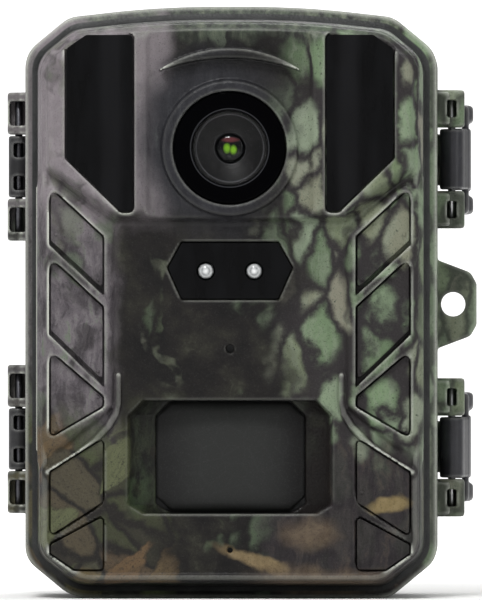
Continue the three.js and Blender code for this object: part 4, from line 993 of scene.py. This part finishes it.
def rear_field(x, y, z):
    ax, az = np.abs(x), np.abs(z - 62.5)
    outline = case_distance(x, z) + 0.4
    body = smax(smax(outline, y - 13.1, 4.2), 0.4 - y, 0.4)
    room = outline + np.where(y < 3.6, 4.4, 2.2)
    body = smax(body, -smax(room, y - 11.1, 1.0), 0.4)
    boss = smax(np.hypot(x, y - 7.3) - 6.4, z - 10, 0.5)
    boss = smax(boss, smax(-0.4 - z + 0.8, y - 13.0, 0.3), 0.3)
    body = smin(body, smax(boss, 0.4 - y, 0.2), 0.5)
    # strap bridges with a toothed back
    bar = smax(np.abs(ax - 24) - 4, slab(y, 12.1, 20.1), 0.7)
    bar = smax(bar, az - 42, 2.2)
    far = (az - 18) / 5.0
    ripple = np.where((az > 18) & (az < 38), 1.4 * (0.5 + 0.5 * np.cos(2 * np.pi * far + np.pi)), 0)
    bar = smax(bar, y - 20.1 + ripple * 0.95, 0.35)
    body = smin(body, bar, 1.1)
    slot = smax(np.abs(y - 15.5) - 2.4, az - 14, 1.2)
    body = smax(body, -smax(slot, 17 - ax, 0.1), 0.5)
    # shallow ribs across the back between the bridges
    rib = smax(np.abs(((z - 22.5) % 10) - 5) - 0.6, np.maximum(ax - 15.5, np.abs(y - 13.2) - 0.7), 0.5)
    rib = smax(rib, az - 40, 0.3)
    body = smin(body, rib, 0.7)
    for up in LATCHES.values():
        ridge = block(x, y, z, (HALF - 2, 4.8, up - 5.5), (LATCH_X - 1.05, 6.0, up + 5.5), 0.3)
        body = smin(body, ridge, 0.3)
    for up in HINGES.values():
        seat = block(x, y, z, (-HALF, 2.5, up - 5.55), (-HALF + 6, 7.5, up + 5.55), 0.3)
        body = smin(body, seat, 0.2)
        socket = block(x, y, z, (-46, 3.4, up - 4.35), (-HALF + 3.6, 6.3, up + 4.35), 0.2)
        body = smax(body, -socket, 0.1)
    # seal groove in the front edge
    groove = smax(np.abs(outline + 2.0) - 1.0, y - 2.8, 0.2)
    body = smax(body, -smax(groove, 9 - ax - (z - 6) * 3, 0.1), 0.15)
    body = smax(body, -smax(np.hypot(x, y - 7.3) - 4.8, z - 8.6, 0.1), 0.3)
    return smin(body, tab_field(x, y, z, 0.5, 2.9), 0.5)


def link_field(x, y, z):
    """The black link between the halves at one hinge."""
    az = np.abs(z)
    barrel = np.hypot(x - HINGE_X, y) - 2.1
    arm = smax(np.abs(x - HINGE_X) - 2.0, slab(y, 0, 6), 0.8)
    body = smax(smin(barrel, arm, 0.6), az - 6.55, 0.5)
    tenon = block(x, y, z, (HINGE_X, 3.7, -4.05), (-HALF + 3.3, 6, 4.05), 0.3)
    body = smin(body, tenon, 0.3)
    hole = smax(np.abs(x - HINGE_X - 0.2) - 1.2, np.abs(az - 3.5) - 1.5, 0.7)
    body = smax(body, -smax(hole, y - 0.9, 0.1), 0.4)
    return smax(body, PIN_BORE - np.hypot(x - HINGE_X, y), 0.15)


def latch_field(x, y, z):
    """One latch: a gripped barrel, a plate along the case and a hook behind it."""
    x, y, az = x - LATCH_X, y - LATCH_Y, np.abs(z)
    barrel = smax(np.hypot(x, y) - 2.55, az - 6.45, 0.6)
    neck = smax(smax(x - 0.31 * y - 2.55, 0.5 - x, 0.5), slab(y, 0, 5.4), 0.5)
    neck = smax(neck, az - 6.45, 0.6)
    body = smin(barrel, neck, 0.5)
    plate = smax(np.abs(x - 2.9) - 0.7, slab(y, 3.4, 16.5), 0.6)
    body = smin(body, smax(plate, az - 11.65, 1.2), 0.4)
    foot = smax(smax(x - 4.55, 2.2 - x, 0.5), np.maximum(10 - y + (x - 3.6) * 1.6, y - 16.5), 0.8)
    foot = smax(foot, slab(az, 7.75, 11.65), 1.1)
    body = smin(body, foot, 0.5)
    # two fine grip ribs between the feet
    grip = smax(np.hypot(x - 3.6, np.abs(y - 13.6) - 1.1) - 0.45, az - 6.6, 0.4)
    body = smin(body, grip, 0.3)
    hook = smax(smax(-0.75 - x + (y - 11.3) * 0.5, x - 2.7, 0.3), slab(y, 11.3, 13.2), 0.3)
    body = smin(body, smax(hook, az - 5, 0.4), 0.3)
    return smax(body, PIN_BORE - np.hypot(x, y), 0.15)


# ------------------------------------------------------------------------- pieces

FRONT_SKIN = (camo, "front_half", ["front_housing"], "camo_plastic")
solid(
    "front_case", front_field, (-44.5, -41, -1), (52.5, 0.6, 126), 0.45,
    *FRONT_SKIN,
)
solid(
    "rear_case", rear_field, (-45, 0, -1), (52.5, 21, 126), 0.7,
    camo, "rear_half", ["rear_housing"], "camo_plastic",
)

for name, up in HINGES.items():
    solid(
        f"hinge_barrels_{name}", raised(knuckle_field, up),
        (-48.8, -6, up - 16.3), (-42, 2.8, up + 16.3), 0.3, *FRONT_SKIN,
    )
    solid(
        f"link_{name}", raised(link_field, up), (-48.5, -2.5, up - 7), (-39.8, 6.4, up + 7), 0.25,
        black_plastic, "rear_half", [f"hinge_link_{name}"], "black_plastic",
    )
    pin(
        f"pin_hinge_{name}", (HINGE_X, 0), up, 15.2,
        shaded_pin_steel, "rear_half", f"hinge_pin_{name}",
    )

for name, up in LATCHES.items():
    solid(
        f"latch_blocks_{name}", raised(latch_block_field, up),
        (41.5, -12, up - 15.2), (50, -1.5, up + 15.2), 0.3, *FRONT_SKIN,
    )
    solid(
        f"latch_lever_{name}", raised(latch_field, up), (43.5, -8, up - 12.2), (51.6, 12, up + 12.2), 0.28,
        latch_plastic, f"{name}_latch", [f"latch_{name}"], "latch_plastic",
    )
    pin(
        f"pin_latch_{name}", (LATCH_X, LATCH_Y), up, 14.2,
        steel, "front_half", f"latch_pin_{name}",
    )

# raised pads on the panel, standing in their pockets
plates = []
for corners in PADS:
    for outline in (corners, mirrored(corners)):
        plates.append(prism(rounded(outline, 0.7, 4), -36.38, -35.2))
STUD_RADIUS = 0.42
for corners in PADS[:4]:
    for x, z in ((corners[0][0] + 1.0, corners[0][1] + 2.0), (corners[1][0] - 1.1, corners[1][1] + 1.3)):
        for side in (-1, 1):
            stud = arc(STUD_RADIUS, 0, 337.5, (side * x, z), 15)
            plates.append(prism(stud, -36.62, -36.2))
pads = new_piece("panel_pads", *merge(plates), *FRONT_SKIN)
bevelled(pads, 0.22, 3)

# lens cover, barrel and front lens
face = GLASS_FRONT
cover = lathe([
    (0, face), (11.2, face), *arc(0.3, -90, 0, (11.45, face + 0.3)), (11.75, face + 1.1), (0, face + 1.1),
], (0, LENS_UP), segments=128)
new_piece("lens_cover", *cover, lens_cover, "front_half", ["lens_window"], "clear_glass")
steps = [
    (0, 3.2), (3.3, 3.2), (3.3, 1.7), (3.5, 1.6), (4.6, 1.35), (4.7, 1.2), (6.9, 0.85), (7.1, 0.25), (7.3, 0),
    (8.0, 0), (8.2, 0.2), (8.2, 8.6), (5.6, 8.6), (5.6, 16.2), (0, 16.2),
]
barrel = lathe([(radius, BARREL_FRONT + back) for radius, back in steps], (0, LENS_UP), segments=128)
new_piece("barrel", *barrel, barrel_black, "front_half", ["lens_barrel"], "black_plastic")
rim = BARREL_FRONT + 2.9
element = lathe([*domed(3.0, rim - 0.95, 1.05), (3.0, rim), (0, rim)], (0, LENS_UP), segments=96)
new_piece("front_element", *element, coated_lens, "front_half", ["front_lens"], "clear_glass")

for side, name in ((-1, "left"), (1, "right")):
    lamp = lathe([
        *domed(1.7, -35.1, 1.4), (1.7, -30.6), (1.9, -30.5), (1.9, -30.0), (0, -30.0),
    ], (side * LAMP_X, LAMP_UP), segments=48)
    new_piece(f"lamp_{name}", *lamp, lamp_resin, "front_half", [f"indicator_lamp_{name}"], "lamp_resin")


# motion sensor lens: a bowed film with a flat seat
def film():
    verts, faces = [], []
    across, tall = 48, 24
    low, high, half = 18.3, 41.5, 15.7
    for back in (0, 1):
        for i in range(across + 1):
            x = half * (2 * i / across - 1)
            bow = 1.5 * max(0.0, 1 - (x / (half - 0.6)) ** 2) ** 0.8
            cut = max(0.0, abs(x) - (half - 3.2))
            for k in range(tall + 1):
                t = 2 * k / tall - 1
                z = (low + high) / 2 + t * ((high - low) / 2 - cut)
                crown = max(0.0, 1 - t ** 6) ** 0.5
                y = -30.4 - bow * crown + back * 0.8
                verts.append((x, y, z))
    row = tall + 1
    layer = row * (across + 1)
    for i in range(across):
        for k in range(tall):
            a = i * row + k
            faces.append((a, a + row, a + row + 1, a + 1))
            faces.append((layer + a, layer + a + 1, layer + a + row + 1, layer + a + row))
    rim = [i * row for i in range(across + 1)] + [across * row + k for k in range(1, row)]
    rim += [i * row + tall for i in range(across - 1, -1, -1)] + [k for k in range(tall - 1, 0, -1)]
    for a, b in zip(rim, rim[1:] + rim[:1]):
        faces.append((a, layer + a, layer + b, b))
    return verts, faces


new_piece("motion_film", *film(), sensor_film, "front_half", ["motion_lens"], "sensor_lens")

# the rest of the frame's solids keep their shape, with softened edges
SOFT_EDGE = {"ir_window_left": 0.3, "ir_window_right": 0.3, "indicator_window": 0.15, "memory_card": 0.15}
FINISHES = [
    ("screen", screen_glass), ("screw", steel), ("key_", key_rubber), ("battery_cover", inner_plastic),
    ("battery_", cell_print), ("contact_", steel), ("board", board_green), ("motion_sensor", board_green),
    ("usb_socket", steel), ("card_socket", steel), ("case_seal", seal_rubber), ("tripod_insert", brass),
    ("inner_panel", inner_plastic), ("ir_window", gloss_black), ("indicator_window", gloss_black),
    ("ir_filter_frame", black_plastic), ("ir_filter", clear_pane),
]
for name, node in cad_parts.items():
    if node.hide_render:
        continue
    finish = next((material for word, material in FINISHES if word in name), black_plastic)
    if node.material_slots:
        for each in node.material_slots:
            each.material = finish
    else:
        node.data.materials.append(finish)
    bevelled(node, SOFT_EDGE.get(name, 0.2), 2)


# -------------------------------------------------------------------------- stage

def sweep():
    """A pale floor that curves up into a backdrop behind."""
    wide, back, bend = 9000, 7000, 900
    profile = [(-wide, 0), *arc(bend, -90, 0, (back, bend), 15), (back + bend, 5000)]
    verts, faces = [], []
    for y, z in profile:
        verts += [(-wide, y, z), (wide, y, z)]
    for i in range(len(profile) - 1):
        faces.append((2 * i, 2 * i + 1, 2 * i + 3, 2 * i + 2))
    mesh = bpy.data.meshes.new("floor")
    mesh.from_pydata([(x / 1000, y / 1000, z / 1000) for x, y, z in verts], [], faces)
    mesh.polygons.foreach_set("use_smooth", [True] * len(faces))
    piece = bpy.data.objects.new("floor", mesh)
    bpy.context.scene.collection.objects.link(piece)
    paper = Paint("floor_paper")
    cloud = paper.cloud(0.004, 3)
    paint = paper.mix(cloud, tone(243, 243, 242), tone(247, 247, 246))
    # the paper is lit from behind where it stands at the back of the set
    sides = paper.fade(paper.size(paper.x), 300, 1000)
    lit = paper.times(sides, paper.smooth(paper.y, -40, 420))
    mesh.materials.append(paper.finish(
        paint, 0.9, 0.1, (cloud, 0.2, 0.1),
        Emission_Color=(1, 1, 1, 1), Emission_Strength=paper.times(lit, 0.62),
    ))


sweep()

world = bpy.data.worlds.new("studio")
bpy.context.scene.world = world
world.use_nodes = True
tree = world.node_tree
where = tree.nodes.new("ShaderNodeTexCoord")
split = tree.nodes.new("ShaderNodeSeparateXYZ")
tree.links.new(where.outputs["Generated"], split.inputs[0])
height = tree.nodes.new("ShaderNodeMapRange")
for index, value in ((1, -0.2), (2, 0.9), (3, 0.28), (4, 0.72)):
    height.inputs[index].default_value = value
tree.links.new(split.outputs["Z"], height.inputs[0])
tree.nodes["Background"].inputs["Color"].default_value = (1.0, 1.0, 1.0, 1)
tree.links.new(height.outputs[0], tree.nodes["Background"].inputs["Strength"])


def softbox(name, place, target, width, height, power):
    light = bpy.data.lights.new(name, "AREA")
    light.shape = "RECTANGLE"
    light.size, light.size_y = width, height
    light.energy = power
    lamp = bpy.data.objects.new(name, light)
    bpy.context.scene.collection.objects.link(lamp)
    lamp.location = place
    lamp.rotation_euler = (Vector(target) - Vector(place)).to_track_quat("-Z", "Y").to_euler()


softbox("key_light", (-0.2, -0.65, 0.85), (0, 0, 0.06), 0.3, 0.22, 6.4)
softbox("fill_light", (0.75, -0.5, 0.35), (0, 0, 0.06), 0.25, 0.6, 0.9)
softbox("top_light", (0, 0.0, 0.9), (0, 0, 0.06), 0.6, 0.3, 1.8)
softbox("back_light", (0.2, 0.9, 0.7), (0, 0, 0.06), 0.6, 0.5, 2.2)

distance = 2.5
angle = math.radians(1.3)
target = Vector((0.0006, -0.026, 0.063))
camera = bpy.data.cameras.new("camera")
camera.lens = 36 * distance * 1000 / 126.4
camera.sensor_width = 36
holder = bpy.data.objects.new("camera", camera)
bpy.context.scene.collection.objects.link(holder)
holder.location = target + Vector((math.sin(angle) * distance, -math.cos(angle) * distance, 0))
holder.rotation_euler = (target - holder.location).to_track_quat("-Z", "Y").to_euler()
bpy.context.scene.camera = holder
bpy.context.scene.view_settings.view_transform = "Standard"
